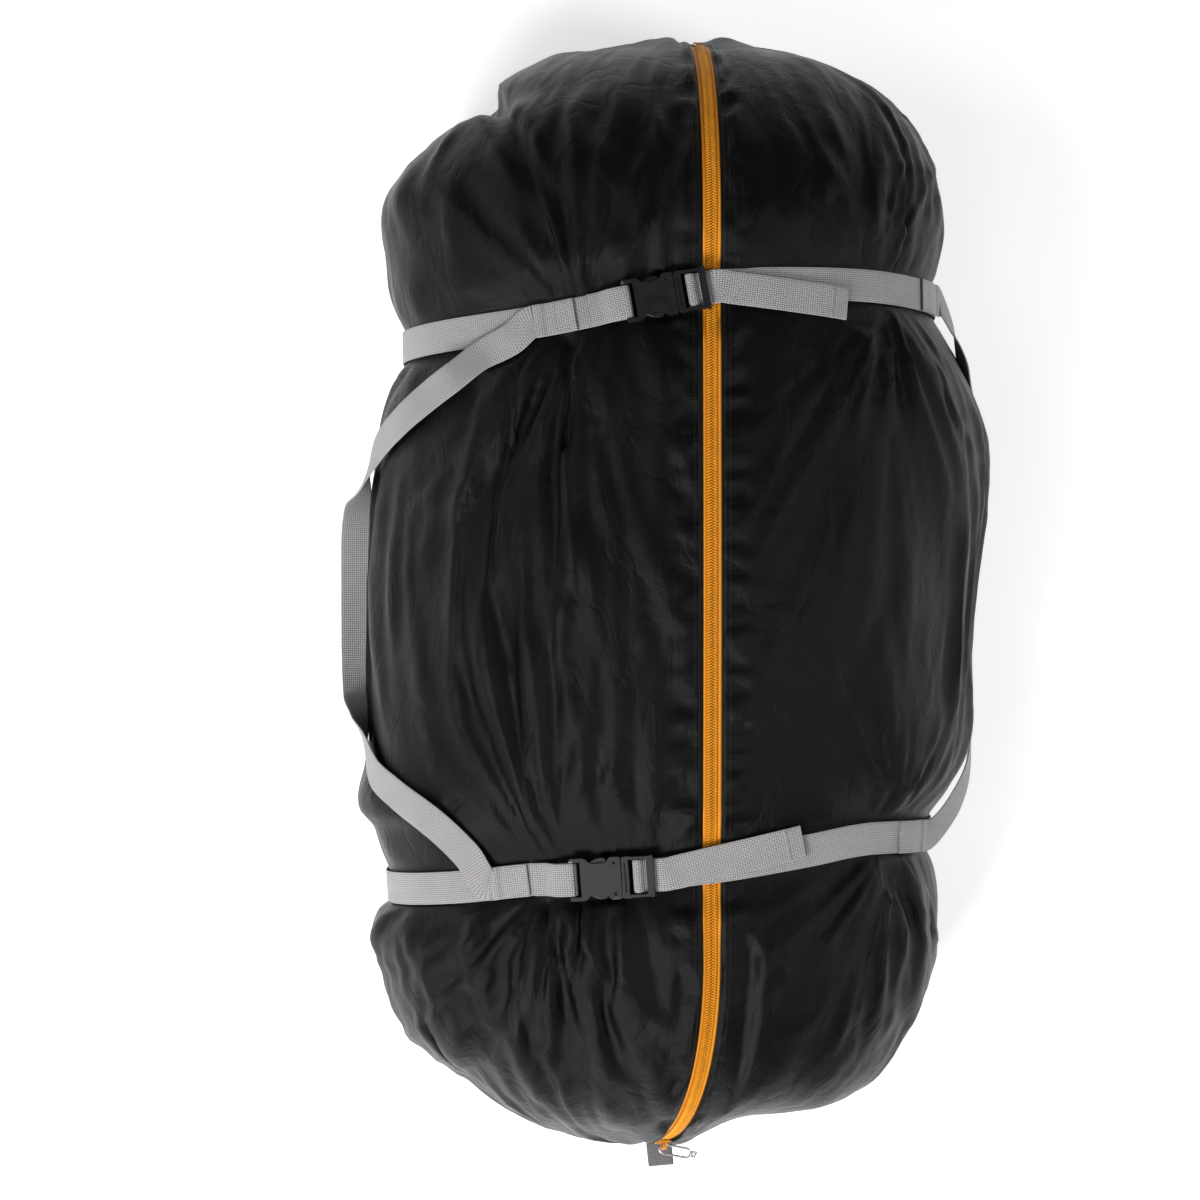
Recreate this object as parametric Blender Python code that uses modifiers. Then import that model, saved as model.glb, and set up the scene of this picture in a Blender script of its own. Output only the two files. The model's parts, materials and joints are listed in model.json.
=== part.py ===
"""Camping hammock packed in its carry bag, lying on its back with the zip on top.

Metres, +Z up. The origin is on the floor under the middle of the base, +Y runs to the head end
of the bag and +X across it. A long zip runs over the crown, two compression straps with
side-release buckles cinch the bag, and two webbing handles are sewn to the straps.
"""

import math

import bmesh
import bpy
import numpy as np
from mathutils import Matrix, Vector

MM = 0.001

# Bag, driving dimensions
CROWN_X = 0.0236  # the zip runs along the crown, a little right of the middle
CROWN_Z = 0.287  # height of the crown where its end arcs begin
BELLY_RISE = 0.013  # the middle of the crown is this much higher
ARC_START = 0.275  # the crown's end arcs begin this far from the middle, along Y
ARC_RADIUS = 0.158
ARC_SWEEP = math.radians(78.8)
FOOT_LEAN = math.radians(16.66)  # how far each end arc leans to the left
HEAD_LEAN = math.radians(2.75)
BAG_END = 0.430  # the side panels stop here, and a domed end panel closes the bag
DOME = 0.006
PANEL = 2.0 * MM  # panel thickness
SEAM_GAP = 1.0 * MM
BASE_SEAM = 3.0 * MM  # the base panel stops this far inside the corner it shares with a side
TOP_ROUNDNESS = 2.3  # superellipse exponents of the section above and below its widest line
BASE_ROUNDNESS = 3.2
BASE_CLIP = 1.06  # the lower half is clipped flat where it would pass the base by this factor
WAIST_Z = 0.130  # the straps squeeze the section towards this height
WAIST_SQUEEZE = 0.05
WAIST_FLAT = 0.0165  # half the width of the flat band under a strap
WAIST_BLEND = 0.026

# Outline seen from above, and heights along the bag: (y, value) pairs
LEFT_EDGE = [(-0.43, -0.100), (-0.40, -0.150), (-0.35, -0.194), (-0.29, -0.232), (-0.12, -0.242),
             (0.02, -0.240), (0.12, -0.233), (0.22, -0.226), (0.30, -0.228), (0.35, -0.198),
             (0.40, -0.142), (0.43, -0.105)]
RIGHT_EDGE = [(-0.43, 0.030), (-0.415, 0.075), (-0.39, 0.135), (-0.35, 0.180), (-0.29, 0.203),
              (-0.20, 0.208), (-0.12, 0.234), (0.00, 0.239), (0.11, 0.244), (0.22, 0.212),
              (0.31, 0.210), (0.38, 0.180), (0.41, 0.145), (0.43, 0.100)]
WIDEST_Z = [(-0.43, 0.100), (-0.33, 0.125), (0.33, 0.125), (0.43, 0.100)]
BASE_Z = [(-0.43, 0.045), (-0.39, 0.012), (-0.34, 0.0), (0.34, 0.0), (0.39, 0.012), (0.43, 0.045)]

# Compression straps: where each crosses the crown, and its line across the top as (x, y) pairs
HEAD_STRAP_Y = 0.2272
FOOT_STRAP_Y = -0.2056
HEAD_STRAP_LINE = [(-0.226, 0.1935), (-0.12, 0.203), (-0.04, 0.2165), (0.0236, 0.2272),
                   (0.07, 0.231), (0.14, 0.2320), (0.212, 0.229)]
FOOT_STRAP_LINE = [(-0.240, -0.2320), (-0.176, -0.2246), (-0.111, -0.2160), (-0.05, -0.2130),
                   (0.0236, -0.2056), (0.0936, -0.1950), (0.1536, -0.1868), (0.206, -0.1890)]
LINE_REACH = 0.10  # rows this far from a strap no longer follow its slant
WEB_WIDTH = 0.025
WEB = 1.5 * MM
WEB_LIFT = 2.2 * MM  # from the bag's surface to the underside of a strap

# Handles
PATCH_LIFT = WEB_LIFT + WEB * 1.5 + 0.5 * MM  # from the bag to the middle of a handle's sewn end
PATCH_GAP = 2.2 * MM
GRIP_RISE = 1.2 * MM  # the free part sets off this much above its sewn end
SET_OFF = 7.0 * MM  # the free part runs on in the same direction for this far

# Zip
TAPE_OUTER = 7.0 * MM
ZIP_OPENING = 7.6 * MM
COIL_OUTER = 3.2 * MM
COIL_INNER = 0.6 * MM
TAPE = 0.9 * MM
COIL = 1.6 * MM
ROLL_IN = 0.040  # the zip rolls to an end arc's lean over this length before the arc
SLIDER_LENGTH = 12.0 * MM
SLIDER_SETBACK = 8.5 * MM  # from the zip's foot end to the middle of the closed slider
BRIDGE_Z = 4.6 * MM  # the middle of the slider's bridge above its top face
PULL_RISE = math.radians(13)  # the puller stands this far off the zip

# Side-release buckle for 25 mm webbing, in its own frame: X along the strap, mouth at X = 0
BUCKLE_HALF = 16.0 * MM
BUCKLE_HEIGHT = 9.0 * MM
BUCKLE_LIFT = 2.5 * MM
SOCKET_LENGTH = 39.0 * MM
PLUG_LENGTH = 24.6 * MM
SLOT_HALF = 13.0 * MM
BAR_Z = 4.5 * MM
PRONG_PIVOT = (0.2 * MM, 9.8 * MM)


# ---------------------------------------------------------------- curves and the bag's surface

def through(points):
    """A smooth curve through (position, value) pairs that never overshoots them."""
    x, y = np.array(points, float).T
    steps = np.diff(x)
    slopes = np.diff(y) / steps
    tangents = np.zeros(len(x))
    same = slopes[:-1] * slopes[1:] > 0
    harmonic = 2 * slopes[:-1] * slopes[1:] / np.where(same, slopes[:-1] + slopes[1:], 1)
    tangents[1:-1] = np.where(same, harmonic, 0)
    tangents[0], tangents[-1] = slopes[0], slopes[-1]

    def value(q):
        q = np.clip(q, x[0], x[-1])
        i = np.clip(np.searchsorted(x, q, side="right") - 1, 0, len(steps) - 1)
        h = steps[i]
        s = (q - x[i]) / h
        rise = s * s * (3 - 2 * s)
        return (y[i] * (1 - rise) + y[i + 1] * rise
                + h * tangents[i] * s * (1 - s) ** 2 - h * tangents[i + 1] * s * s * (1 - s))

    return value


left_edge, right_edge = through(LEFT_EDGE), through(RIGHT_EDGE)
widest_z, base_z = through(WIDEST_Z), through(BASE_Z)
head_line, foot_line = through(HEAD_STRAP_LINE), through(FOOT_STRAP_LINE)


def ease(x):
    x = np.clip(x, 0, 1)
    return x * x * (3 - 2 * x)


def crown(v):
    """(x, z) of the crown at row v, before the straps squeeze it."""
    beyond = abs(v) - ARC_START
    if beyond <= 0:
        return CROWN_X, CROWN_Z + BELLY_RISE * (0.5 + 0.5 * math.cos(math.pi * v / ARC_START))
    lean = HEAD_LEAN if v > 0 else FOOT_LEAN
    drop = ARC_RADIUS - math.sqrt(max(ARC_RADIUS ** 2 - beyond ** 2, 0))
    return CROWN_X - drop * math.sin(lean), CROWN_Z - drop * math.cos(lean)


def squeeze(v):
    """1 on the band under a strap, falling to 0 beside it."""
    return sum(1 - ease((abs(v - at) - WAIST_FLAT) / WAIST_BLEND)
               for at in (HEAD_STRAP_Y, FOOT_STRAP_Y))


def slant(x, v, on_top):
    """How far row v moves along Y at x, so that the rows near a strap follow its line."""
    shift = 0
    for line, at in ((head_line, HEAD_STRAP_Y), (foot_line, FOOT_STRAP_Y)):
        ends = [line(left_edge(at)), line(right_edge(at))]
        under = ends[0] + (ends[1] - ends[0]) * (x - left_edge(at)) / (right_edge(at) - left_edge(at))
        share = 1 - ease((abs(v - at) - WAIST_FLAT) / LINE_REACH)
        shift = shift + share * (np.where(on_top, line(x), under) - at)
    return shift


def bag_point(t, v):
    """Points of the bag's outer surface on row v at angles t: a quarter turn is the crown."""
    t = np.asarray(t, float)
    c, s = np.cos(t), np.sin(t)
    x_mid, z_top = crown(v)
    z_mid, z_low = widest_z(v), base_z(v)
    top = s >= 0
    power = np.where(top, 2 / TOP_ROUNDNESS, 2 / BASE_ROUNDNESS)
    reach = np.where(c > 0, right_edge(v) - x_mid, x_mid - left_edge(v))
    x = x_mid + np.sign(c) * reach * np.abs(c) ** power
    z = np.where(top, z_mid + (z_top - z_mid) * np.abs(s) ** power,
                 np.maximum(z_low, z_mid - (z_mid - z_low) * BASE_CLIP * np.abs(s) ** power))
    y = v + slant(x, v, top)
    keep = 1 - WAIST_SQUEEZE * squeeze(v)
    return np.stack([x_mid + (x - x_mid) * keep, y, WAIST_Z + (z - WAIST_Z) * keep], -1)


def bag_normal(t, v, step=2e-4):
    """Outward unit normals of the surface at the same points."""
    t = np.asarray(t, float)
    low, high = max(v - step, -BAG_END), min(v + step, BAG_END)
    along = bag_point(t, high) - bag_point(t, low)
    around = bag_point(t + 2e-3, v) - bag_point(t - 2e-3, v)
    n = np.cross(along, around)
    return n / np.linalg.norm(n, axis=-1, keepdims=True)


BASE_CORNER = math.asin((1 / BASE_CLIP) ** (BASE_ROUNDNESS / 2))


def angles_between(v, start, end, count, from_start=0.0, from_end=0.0):
    """Angles that divide the surface between two angles of row v into equal lengths."""
    fine = np.linspace(start, end, 500)
    lengths = np.linalg.norm(np.diff(bag_point(fine, v), axis=0), axis=1)
    run = np.concatenate([[0], np.cumsum(lengths)])
    return np.interp(np.linspace(from_start, run[-1] - from_end, count), run, fine)


def row_values():
    """Rows of the panels' grids, closer together at the straps and on the end arcs."""
    rows = [ARC_START + ARC_RADIUS * math.sin(a)
            for a in np.radians([10, 22, 33, 43, 53, 62, 70])] + [BAG_END]
    rows = [-y for y in rows] + rows + [-0.11, -0.055, 0.0, 0.06, 0.12]
    for at in (HEAD_STRAP_Y, FOOT_STRAP_Y):
        rows += [at + side * (WAIST_FLAT + share * WAIST_BLEND)
                 for side in (-1, 1) for share in (0.0, 0.33, 0.67, 1.0)]
    return sorted(rows)


# ---------------------------------------------------------------- making objects

def collection(name):
    made = bpy.data.collections.new(name)
    bpy.context.scene.collection.children.link(made)
    return made


def clear_scene():
    for obj in list(bpy.data.objects):
        bpy.data.objects.remove(obj)


clear_scene()
PARTS = collection("packed_hammock")
CUTTERS = collection("cutters")


def material(name, colour, roughness, metallic=0.0):
    made = bpy.data.materials.new(name)
    made.use_nodes = True
    shader = made.node_tree.nodes["Principled BSDF"]
    shader.inputs["Base Color"].default_value = (*colour, 1)
    shader.inputs["Roughness"].default_value = roughness
    shader.inputs["Metallic"].default_value = metallic
    return made


FABRIC = material("black_fabric", (0.012, 0.012, 0.013), 0.42)
WEBBING = material("grey_webbing", (0.36, 0.35, 0.36), 0.8)
ZIP = material("orange_zip", (0.80, 0.36, 0.02), 0.6)
PLASTIC = material("black_plastic", (0.012, 0.013, 0.016), 0.38)
STEEL = material("bright_steel", (0.62, 0.61, 0.58), 0.25, 1.0)
BED = material("packed_cloth", (0.16, 0.22, 0.14), 0.85)


def new_object(name, data, finish=None, where=None):
    obj = bpy.data.objects.new(name, data)
    (where or PARTS).objects.link(obj)
    if finish:
        data.materials.append(finish)
    return obj


def as_helper(obj):
    obj.hide_render = True
    obj.display_type = "WIRE"
    return obj


def empty(name, matrix):
    """A frame that pieces are parented to."""
    obj = bpy.data.objects.new(name, None)
    PARTS.objects.link(obj)
    obj.matrix_world = matrix
    return obj


def parent(obj, frame):
    obj.parent = frame
    return obj


def solidify(obj, thickness, offset):
    shell = obj.modifiers.new("thickness", "SOLIDIFY")
    shell.thickness = thickness
    shell.offset = offset
    return obj


def bevel(obj, width, segments=1, angle=40):
    edge = obj.modifiers.new("rounded_edges", "BEVEL")
    edge.width = width
    edge.segments = segments
    edge.limit_method = "ANGLE"
    edge.angle_limit = math.radians(angle)
    return obj


def sheet(name, points, finish, weld=False):
    """An open surface: a grid whose vertices lie at points[row][column]."""
    points = np.asarray(points, float)
    rows, columns = points.shape[:2]
    mesh = bpy.data.meshes.new(name)
    grid = bmesh.new()
    bmesh.ops.create_grid(grid, x_segments=columns - 1, y_segments=rows - 1, size=1)
    for vertex in grid.verts:
        column = round((vertex.co.x + 1) / 2 * (columns - 1))
        row = round((vertex.co.y + 1) / 2 * (rows - 1))
        vertex.co = points[row, column]
    if weld:
        bmesh.ops.remove_doubles(grid, verts=grid.verts, dist=1e-5)
    grid.to_mesh(mesh)
    grid.free()
    mesh.shade_smooth()
    return new_object(name, mesh, finish)


def ribbon(name, centres, normals, finish, width=WEB_WIDTH, thickness=WEB, cuts=None):
    """Webbing that follows a line of centres with its face along the normals.

    cuts maps a row of the line to the direction its edge is cut along, instead of square.
    """
    centres, normals = np.asarray(centres, float), np.asarray(normals, float)
    along = np.gradient(centres, axis=0)
    along /= np.linalg.norm(along, axis=1, keepdims=True)
    across = np.cross(along, normals)
    across /= np.linalg.norm(across, axis=1, keepdims=True)
    for row, direction in (cuts or {}).items():
        across[row] = direction * np.sign(np.dot(direction, across[row]))
    edges = np.stack([centres - across * width / 2, centres + across * width / 2], 1)
    return solidify(sheet(name, edges, finish), thickness, 0)


def box(name, low, high, finish=None, where=None):
    """A block between two corners, from a cube primitive."""
    low, high = np.array(low, float), np.array(high, float)
    mesh = bpy.data.meshes.new(name)
    block = bmesh.new()
    bmesh.ops.create_cube(block, size=1)
    bmesh.ops.scale(block, vec=high - low, verts=block.verts)
    bmesh.ops.translate(block, vec=(low + high) / 2, verts=block.verts)
    block.to_mesh(mesh)
    block.free()
    return new_object(name, mesh, finish, where)


def cylinder(name, radius, depth, finish=None, where=None, sides=24):
    """A round block on its own Z axis."""
    mesh = bpy.data.meshes.new(name)
    block = bmesh.new()
    bmesh.ops.create_cone(block, cap_ends=True, segments=sides, radius1=radius, radius2=radius,
                          depth=depth)
    block.to_mesh(mesh)
    block.free()
    return new_object(name, mesh, finish, where)


def wire(name, points, radius, finish, resolution=2):
    """A closed ring of round wire through the points."""
    curve = bpy.data.curves.new(name, "CURVE")
    curve.dimensions = "3D"
    curve.bevel_depth = radius
    curve.bevel_resolution = resolution
    line = curve.splines.new("POLY")
    line.points.add(len(points) - 1)
    for point, place in zip(line.points, points):
        point.co = (*place, 1)
    line.use_cyclic_u = True
    return new_object(name, curve, finish)


def outline(name, points, low, high, finish):
    """A flat outline with thickness, from z low to z high."""
    curve = bpy.data.curves.new(name, "CURVE")
    curve.dimensions = "2D"
    curve.fill_mode = "BOTH"
    curve.extrude = (high - low) / 2
    line = curve.splines.new("POLY")
    line.points.add(len(points) - 1)
    for point, (x, y) in zip(line.points, points):
        point.co = (x, y, 0, 1)
    line.use_cyclic_u = True
    obj = new_object(name, curve, finish)
    obj.location.z = (low + high) / 2
    return obj


def boolean(obj, other, operation):
    cut = obj.modifiers.new(operation.lower(), "BOOLEAN")
    cut.operation = operation
    cut.solver = "EXACT"
    cut.object = as_helper(other)


def cut(obj, frame, low, high):
    """Removes the block between two corners, given in the frame that obj is parented to."""
    boolean(obj, parent(box(obj.name + "_cut", low, high, where=CUTTERS), frame), "DIFFERENCE")


def add(obj, frame, low, high):
    boolean(obj, parent(box(obj.name + "_add", low, high, where=CUTTERS), frame), "UNION")


# ---------------------------------------------------------------- the bag's panels

def side_panel(name, side, columns=13):
    """Half of the top and one side, from beside the zip to the base. side is 1 on the right."""
    crown_angle, corner = math.pi / 2, -BASE_CORNER if side > 0 else math.pi + BASE_CORNER
    rows = []
    for v in row_values():
        angles = angles_between(v, crown_angle, corner, columns, ZIP_OPENING, SEAM_GAP / 2)
        rows.append(bag_point(angles if side > 0 else angles[::-1], v))
    return solidify(sheet(name, rows, FABRIC), PANEL, -1)


def base_panel(columns=9):
    rows = []
    for v in row_values():
        angles = angles_between(v, -BASE_CORNER, -math.pi + BASE_CORNER, columns,
                                BASE_SEAM, BASE_SEAM)
        rows.append(bag_point(angles, v))
    return solidify(sheet("bag_base_panel", rows, FABRIC), PANEL, -1)


def end_panel(name, end, rings=4, spokes=28):
    """The domed panel that closes one end, set just inside the side panels. end is 1 at the head."""
    angles = angles_between(end * BAG_END, 0, 2 * math.pi, spokes + 1)
    rim = bag_point(angles, end * BAG_END)
    centre = rim[:-1].mean(0)
    spread = rim - centre
    inset = 1 - 3.0 * MM / np.linalg.norm(spread, axis=1, keepdims=True)
    rows = []
    for ring in np.linspace(1, 0, rings + 1):
        points = centre + spread * inset * ring
        points[:, 1] = end * (BAG_END + DOME * (1 - ring ** 2))
        rows.append(points if end < 0 else points[::-1])
    return solidify(sheet(name, rows, FABRIC, weld=True), PANEL, -1)


# ---------------------------------------------------------------- the zip

def crown_line(count):
    """Points, directions and normals along the crown, evenly spaced from foot to head."""
    sweep = [ARC_START + ARC_RADIUS * math.sin(a) for a in np.linspace(0, ARC_SWEEP, 60)]
    rows = np.concatenate([-np.array(sweep[::-1]), np.linspace(-ARC_START, ARC_START, 400)[1:-1],
                           sweep])
    rows = np.clip(rows, -BAG_END, BAG_END)
    fine = np.array([bag_point(math.pi / 2, v) for v in rows])
    run = np.concatenate([[0], np.cumsum(np.linalg.norm(np.diff(fine, axis=0), axis=1))])
    at = np.linspace(0, run[-1], count)
    points = np.stack([np.interp(at, run, fine[:, k]) for k in range(3)], 1)
    along = np.gradient(points, axis=0)
    along /= np.linalg.norm(along, axis=1, keepdims=True)
    v = np.interp(at, run, rows)
    lean = np.where(v > 0, HEAD_LEAN, FOOT_LEAN) * ease((abs(v) - ARC_START + ROLL_IN) / ROLL_IN)
    side = np.stack([np.cos(lean), 0 * lean, -np.sin(lean)], 1)
    side -= along * np.sum(side * along, axis=1, keepdims=True)
    side /= np.linalg.norm(side, axis=1, keepdims=True)
    return points, side, np.cross(side, along)


def zip_strip(name, inner, outer, low, high, side, trim=0):
    """A strip along the zip between two distances from its line, at heights low to high."""
    points, across, up = (part[trim:len(part) - trim] for part in crown_line(74))
    near, far = points + across * side * inner, points + across * side * outer
    columns = [near, far] if side > 0 else [far, near]
    rows = np.stack(columns, 1) + (up * high)[:, None, :]
    return solidify(sheet(name, rows, ZIP), high - low, -1)


def zip_tapes_and_coils():
    for word, side in (("left", -1), ("right", 1)):
        zip_strip(f"zip_tape_{word}", COIL_INNER, TAPE_OUTER, -0.3 * MM - TAPE, -0.3 * MM, side)
        zip_strip(f"zip_coil_{word}", COIL_INNER, COIL_OUTER, 0.0, COIL, side, trim=1)


def end_frame(end, setback=0.0):
    """A frame on the axis of an end arc of the crown, turned towards a point of the zip.

    X runs across the zip, Y along it towards the head and Z out of the bag; the zip is at
    Z = ARC_RADIUS. The point is this far from the zip's end, measured along the arc.
    """
    lean = HEAD_LEAN if end > 0 else FOOT_LEAN
    start = Vector((CROWN_X, end * ARC_START, CROWN_Z))
    inward = Vector((-math.sin(lean), 0, -math.cos(lean)))
    centre = start + inward * ARC_RADIUS
    axis = Vector((math.cos(lean), 0, -math.sin(lean)))
    turn = Matrix.Rotation(-end * (ARC_SWEEP - setback / ARC_RADIUS), 4, axis)
    stand = Matrix((axis, Vector((0, 1, 0)), -inward)).transposed().to_4x4()
    return Matrix.Translation(centre) @ turn @ stand


def slider():
    """Two wings joined by a thin post between the coils, and a bridge on top for the puller."""
    frame = empty("zip_travel_frame", end_frame(-1, SLIDER_SETBACK))
    half = SLIDER_LENGTH / 2
    deck = ARC_RADIUS + COIL + 1.7 * MM
    obj = parent(box("zip_slider", (-5.4 * MM, -half, deck - 1.4 * MM), (5.4 * MM, half, deck), ZIP),
                 frame)
    bevel(obj, 0.5 * MM)
    add(obj, frame, (-0.25 * MM, -half + 4 * MM, ARC_RADIUS - 2.4 * MM),
        (0.25 * MM, half - 4 * MM, deck - 0.5 * MM))
    add(obj, frame, (-5.4 * MM, -half, ARC_RADIUS - 2.9 * MM),
        (5.4 * MM, half, ARC_RADIUS - 1.9 * MM))
    for y in (-4.4 * MM, 3.0 * MM):
        add(obj, frame, (-1.0 * MM, y, deck - 0.5 * MM), (1.0 * MM, y + 1.4 * MM, deck + 4.8 * MM))
    add(obj, frame, (-1.0 * MM, -4.4 * MM, deck + BRIDGE_Z - 0.6 * MM),
        (1.0 * MM, 4.4 * MM, deck + BRIDGE_Z + 0.6 * MM))
    return frame, deck + BRIDGE_Z


def pull(frame, bridge):
    """The ring puller, hooked round the slider's bridge and standing off to the right."""
    hinge = empty("zip_pull_frame", Matrix())
    parent(hinge, frame)
    hinge.location = (0, 0, bridge)
    hinge.rotation_euler.y = -PULL_RISE
    long, half = 18.5 * MM, 3.6 * MM
    near, far = np.linspace(-math.pi / 2, -1.5 * math.pi, 9), np.linspace(math.pi / 2, -math.pi / 2, 9)
    ring = [(half * math.cos(a), 0, half * math.sin(a)) for a in near]
    ring += [(long + half * math.cos(a), 0, half * math.sin(a)) for a in far]
    curve = wire("zip_pull_curve", ring, 0.85 * MM, STEEL)
    depsgraph = bpy.context.evaluated_depsgraph_get()
    obj = new_object("zip_pull", bpy.data.meshes.new_from_object(curve.evaluated_get(depsgraph)))
    bpy.data.objects.remove(curve)
    parent(obj, hinge)
    start = long + half - 0.6 * MM
    add(obj, hinge, (start, -0.8 * MM, -2.6 * MM), (start + 6.0 * MM, 0.8 * MM, 2.6 * MM))


def zip_stops():
    """A moulded block over the coils at each end of the zip."""
    for name, end in (("zip_head_stop", 1), ("zip_foot_stop", -1)):
        frame = empty(name + "_frame", end_frame(end))
        base = ARC_RADIUS + COIL + 0.4 * MM
        ends = sorted([-end * 0.8 * MM, end * 1.2 * MM])
        block = box(name, (-4.0 * MM, ends[0], base), (4.0 * MM, ends[1], base + 1.4 * MM), ZIP)
        bevel(parent(block, frame), 0.3 * MM)


def end_tab():
    """A short folded tab of webbing sewn on at the zip's foot end."""
    bag_foot = bag_point(math.pi / 2, -BAG_END)
    out = np.array([0.10, -0.93, -0.35])
    out /= np.linalg.norm(out)
    up = np.cross([1.0, 0, 0], out)
    up /= np.linalg.norm(up)
    up = up if up[2] > 0 else -up
    start = bag_foot + np.array([-0.0005, -0.0065, -0.0125])
    length, gap = 17.0 * MM, 1.2 * MM
    turn = [(length + gap * math.cos(a), gap * math.sin(a)) for a in np.linspace(1.2, -1.2, 7)]
    line = [(0, gap), (length * 0.5, gap), (length, gap)] + turn + [(length, -gap), (length * 0.5, -gap),
                                                                    (0, -gap)]
    centres = np.array([start + out * a + up * b for a, b in line])
    along = np.gradient(centres, axis=0)
    side = np.cross(out, up)
    ribbon("zip_end_tab", centres, np.cross(side, along), WEBBING, width=0.020, thickness=1.0 * MM)


# ---------------------------------------------------------------- straps and buckles

def strap_ring(at, side, x_top, count, lift=WEB_LIFT + WEB / 2):
    """A strap's centre line from x_top on the top, round one side, to the middle of the base."""
    start = angle_at(at, x_top)
    end = -math.pi / 2 if side > 0 else 1.5 * math.pi
    angles = angles_between(at, start, end, count, from_end=0.4 * MM)
    normals = bag_normal(angles, at)
    return bag_point(angles, at) + normals * lift, normals


def angle_at(at, x):
    """The angle on the top of row at whose point has this x."""
    fine = np.linspace(math.pi, 0, 2000)
    return float(np.interp(x, bag_point(fine, at)[:, 0], fine))


def buckle_matrix(at, mouth_x):
    """The buckle's frame, lying on the strap's line with the mouth of its socket at mouth_x."""
    middle = angle_at(at, mouth_x - 0.007)
    point, up = bag_point(middle, at), bag_normal(middle, at)
    step = bag_point(middle - 0.1, at) - bag_point(middle + 0.1, at)
    along = step - up * np.dot(step, up)
    along /= np.linalg.norm(along)
    across = np.cross(up, along)
    origin = point + up * BUCKLE_LIFT + along * 0.007
    matrix = Matrix((along, across, up)).transposed().to_4x4()
    matrix.translation = origin
    return matrix


def socket(name, frame):
    """Female half: a flat housing with a mouth, side windows and a webbing bar at the back."""
    back = -SOCKET_LENGTH
    obj = parent(box(name, (back, -BUCKLE_HALF, 0), (0, BUCKLE_HALF, BUCKLE_HEIGHT), PLASTIC), frame)
    bevel(obj, 1.2 * MM, 2)
    wall = 1.6 * MM
    cut(obj, frame, (-29 * MM, -SLOT_HALF, wall), (5 * MM, SLOT_HALF, BUCKLE_HEIGHT - wall))
    for side in (-1, 1):
        y = sorted([side * 11.4 * MM, side * 20 * MM])
        cut(obj, frame, (-27 * MM, y[0], -1 * MM), (-10 * MM, y[1], BUCKLE_HEIGHT + 1 * MM))
    cut(obj, frame, (back + 3.6 * MM, -SLOT_HALF, -1 * MM),
        (-30.6 * MM, SLOT_HALF, BUCKLE_HEIGHT + 1 * MM))
    for z in ((-1 * MM, BAR_Z - 1.0 * MM), (BAR_Z + 1.0 * MM, BUCKLE_HEIGHT + 1 * MM)):
        cut(obj, frame, (back - 1 * MM, -SLOT_HALF, z[0]), (back + 4.6 * MM, SLOT_HALF, z[1]))


def plug(name, frame):
    """Male half: a centre tongue, and a ladder lock with two bars for the adjustable webbing."""
    front = 0.5 * MM
    obj = parent(box(name, (front, -BUCKLE_HALF, 0), (PLUG_LENGTH, BUCKLE_HALF, 8.6 * MM), PLASTIC), frame)
    bevel(obj, 1.0 * MM, 2)
    cut(obj, frame, (6.0 * MM, -SLOT_HALF, -1 * MM), (19.2 * MM, SLOT_HALF, 10 * MM))
    cut(obj, frame, (18.0 * MM, -SLOT_HALF, -1 * MM), (30 * MM, SLOT_HALF, 4.5 * MM))
    add(obj, frame, (10.9 * MM, -SLOT_HALF - 1 * MM, 3.1 * MM),
        (13.0 * MM, SLOT_HALF + 1 * MM, 5.3 * MM))
    add(obj, frame, (-20 * MM, -3.4 * MM, 2.4 * MM), (front + 1 * MM, 3.4 * MM, 6.6 * MM))


PRONG_OUTLINE = [(-0.4, 8.4), (-0.4, 11.0), (-5.0, 12.0), (-10.6, 12.3), (-10.8, 14.4), (-12.5, 15.5),
                 (-15.5, 15.8), (-19.0, 15.0), (-22.5, 13.2), (-25.2, 10.8), (-25.8, 9.6), (-24.8, 9.0),
                 (-21.5, 10.9), (-17.0, 11.6), (-12.0, 10.8), (-6.0, 9.2)]


def prong(name, frame, side):
    """One latch arm, with its origin on the pivot where it flexes."""
    pivot_x, pivot_y = PRONG_PIVOT
    points = [(x * MM - pivot_x, side * (y * MM - pivot_y)) for x, y in PRONG_OUTLINE]
    obj = outline(name, points, 2.1 * MM, 6.9 * MM, PLASTIC)
    obj.parent = frame
    obj.location = (pivot_x, side * pivot_y, 4.5 * MM)
    return obj


def webbing_in_frame(frame_matrix, line):
    """World points of a line given as (x, z) in a buckle's frame."""
    return np.array([frame_matrix @ Vector((x, 0, z)) for x, z in line])


def turned(centres, frame_matrix):
    """Normals for webbing that turns about the buckle's cross direction."""
    across = np.array(frame_matrix.col[1][:3])
    return np.cross(np.gradient(centres, axis=0), across)


def left_strap(name, at, frame_matrix):
    """Sewn webbing: from the base round the left side, under and round the socket's bar and back."""
    bar_x = -SOCKET_LENGTH + 1.8 * MM
    turn = [(bar_x + 3.3 * MM * math.cos(a), BAR_Z + 2.6 * MM * math.sin(a))
            for a in np.linspace(-math.pi / 2, math.pi / 2, 7)]
    approach = [(bar_x - 12 * MM, 1.3 * MM), (bar_x - 5 * MM, 1.7 * MM)]
    fold = [(bar_x - 6 * MM, BAR_Z + 2.2 * MM), (bar_x - 12 * MM, BAR_Z + 0.6 * MM)]
    near = webbing_in_frame(frame_matrix, approach + turn + fold)
    meet_x = float(near[0][0]) - 0.016
    ring, normals = strap_ring(at, -1, meet_x, 36)
    fold_x = np.linspace(float(near[-1][0]) - 0.007, float(near[-1][0]) - 0.015, 2)
    over = [bag_point(a, at) + bag_normal(a, at) * (WEB_LIFT + WEB * 1.5 + 1.0 * MM)
            for a in (angle_at(at, x) for x in fold_x)]
    centres = np.concatenate([ring[::-1], near, over])
    return ribbon(name, centres, np.concatenate([normals[::-1], turned(
        np.concatenate([ring[:1], near, over]), frame_matrix)[1:]]), WEBBING)


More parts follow.
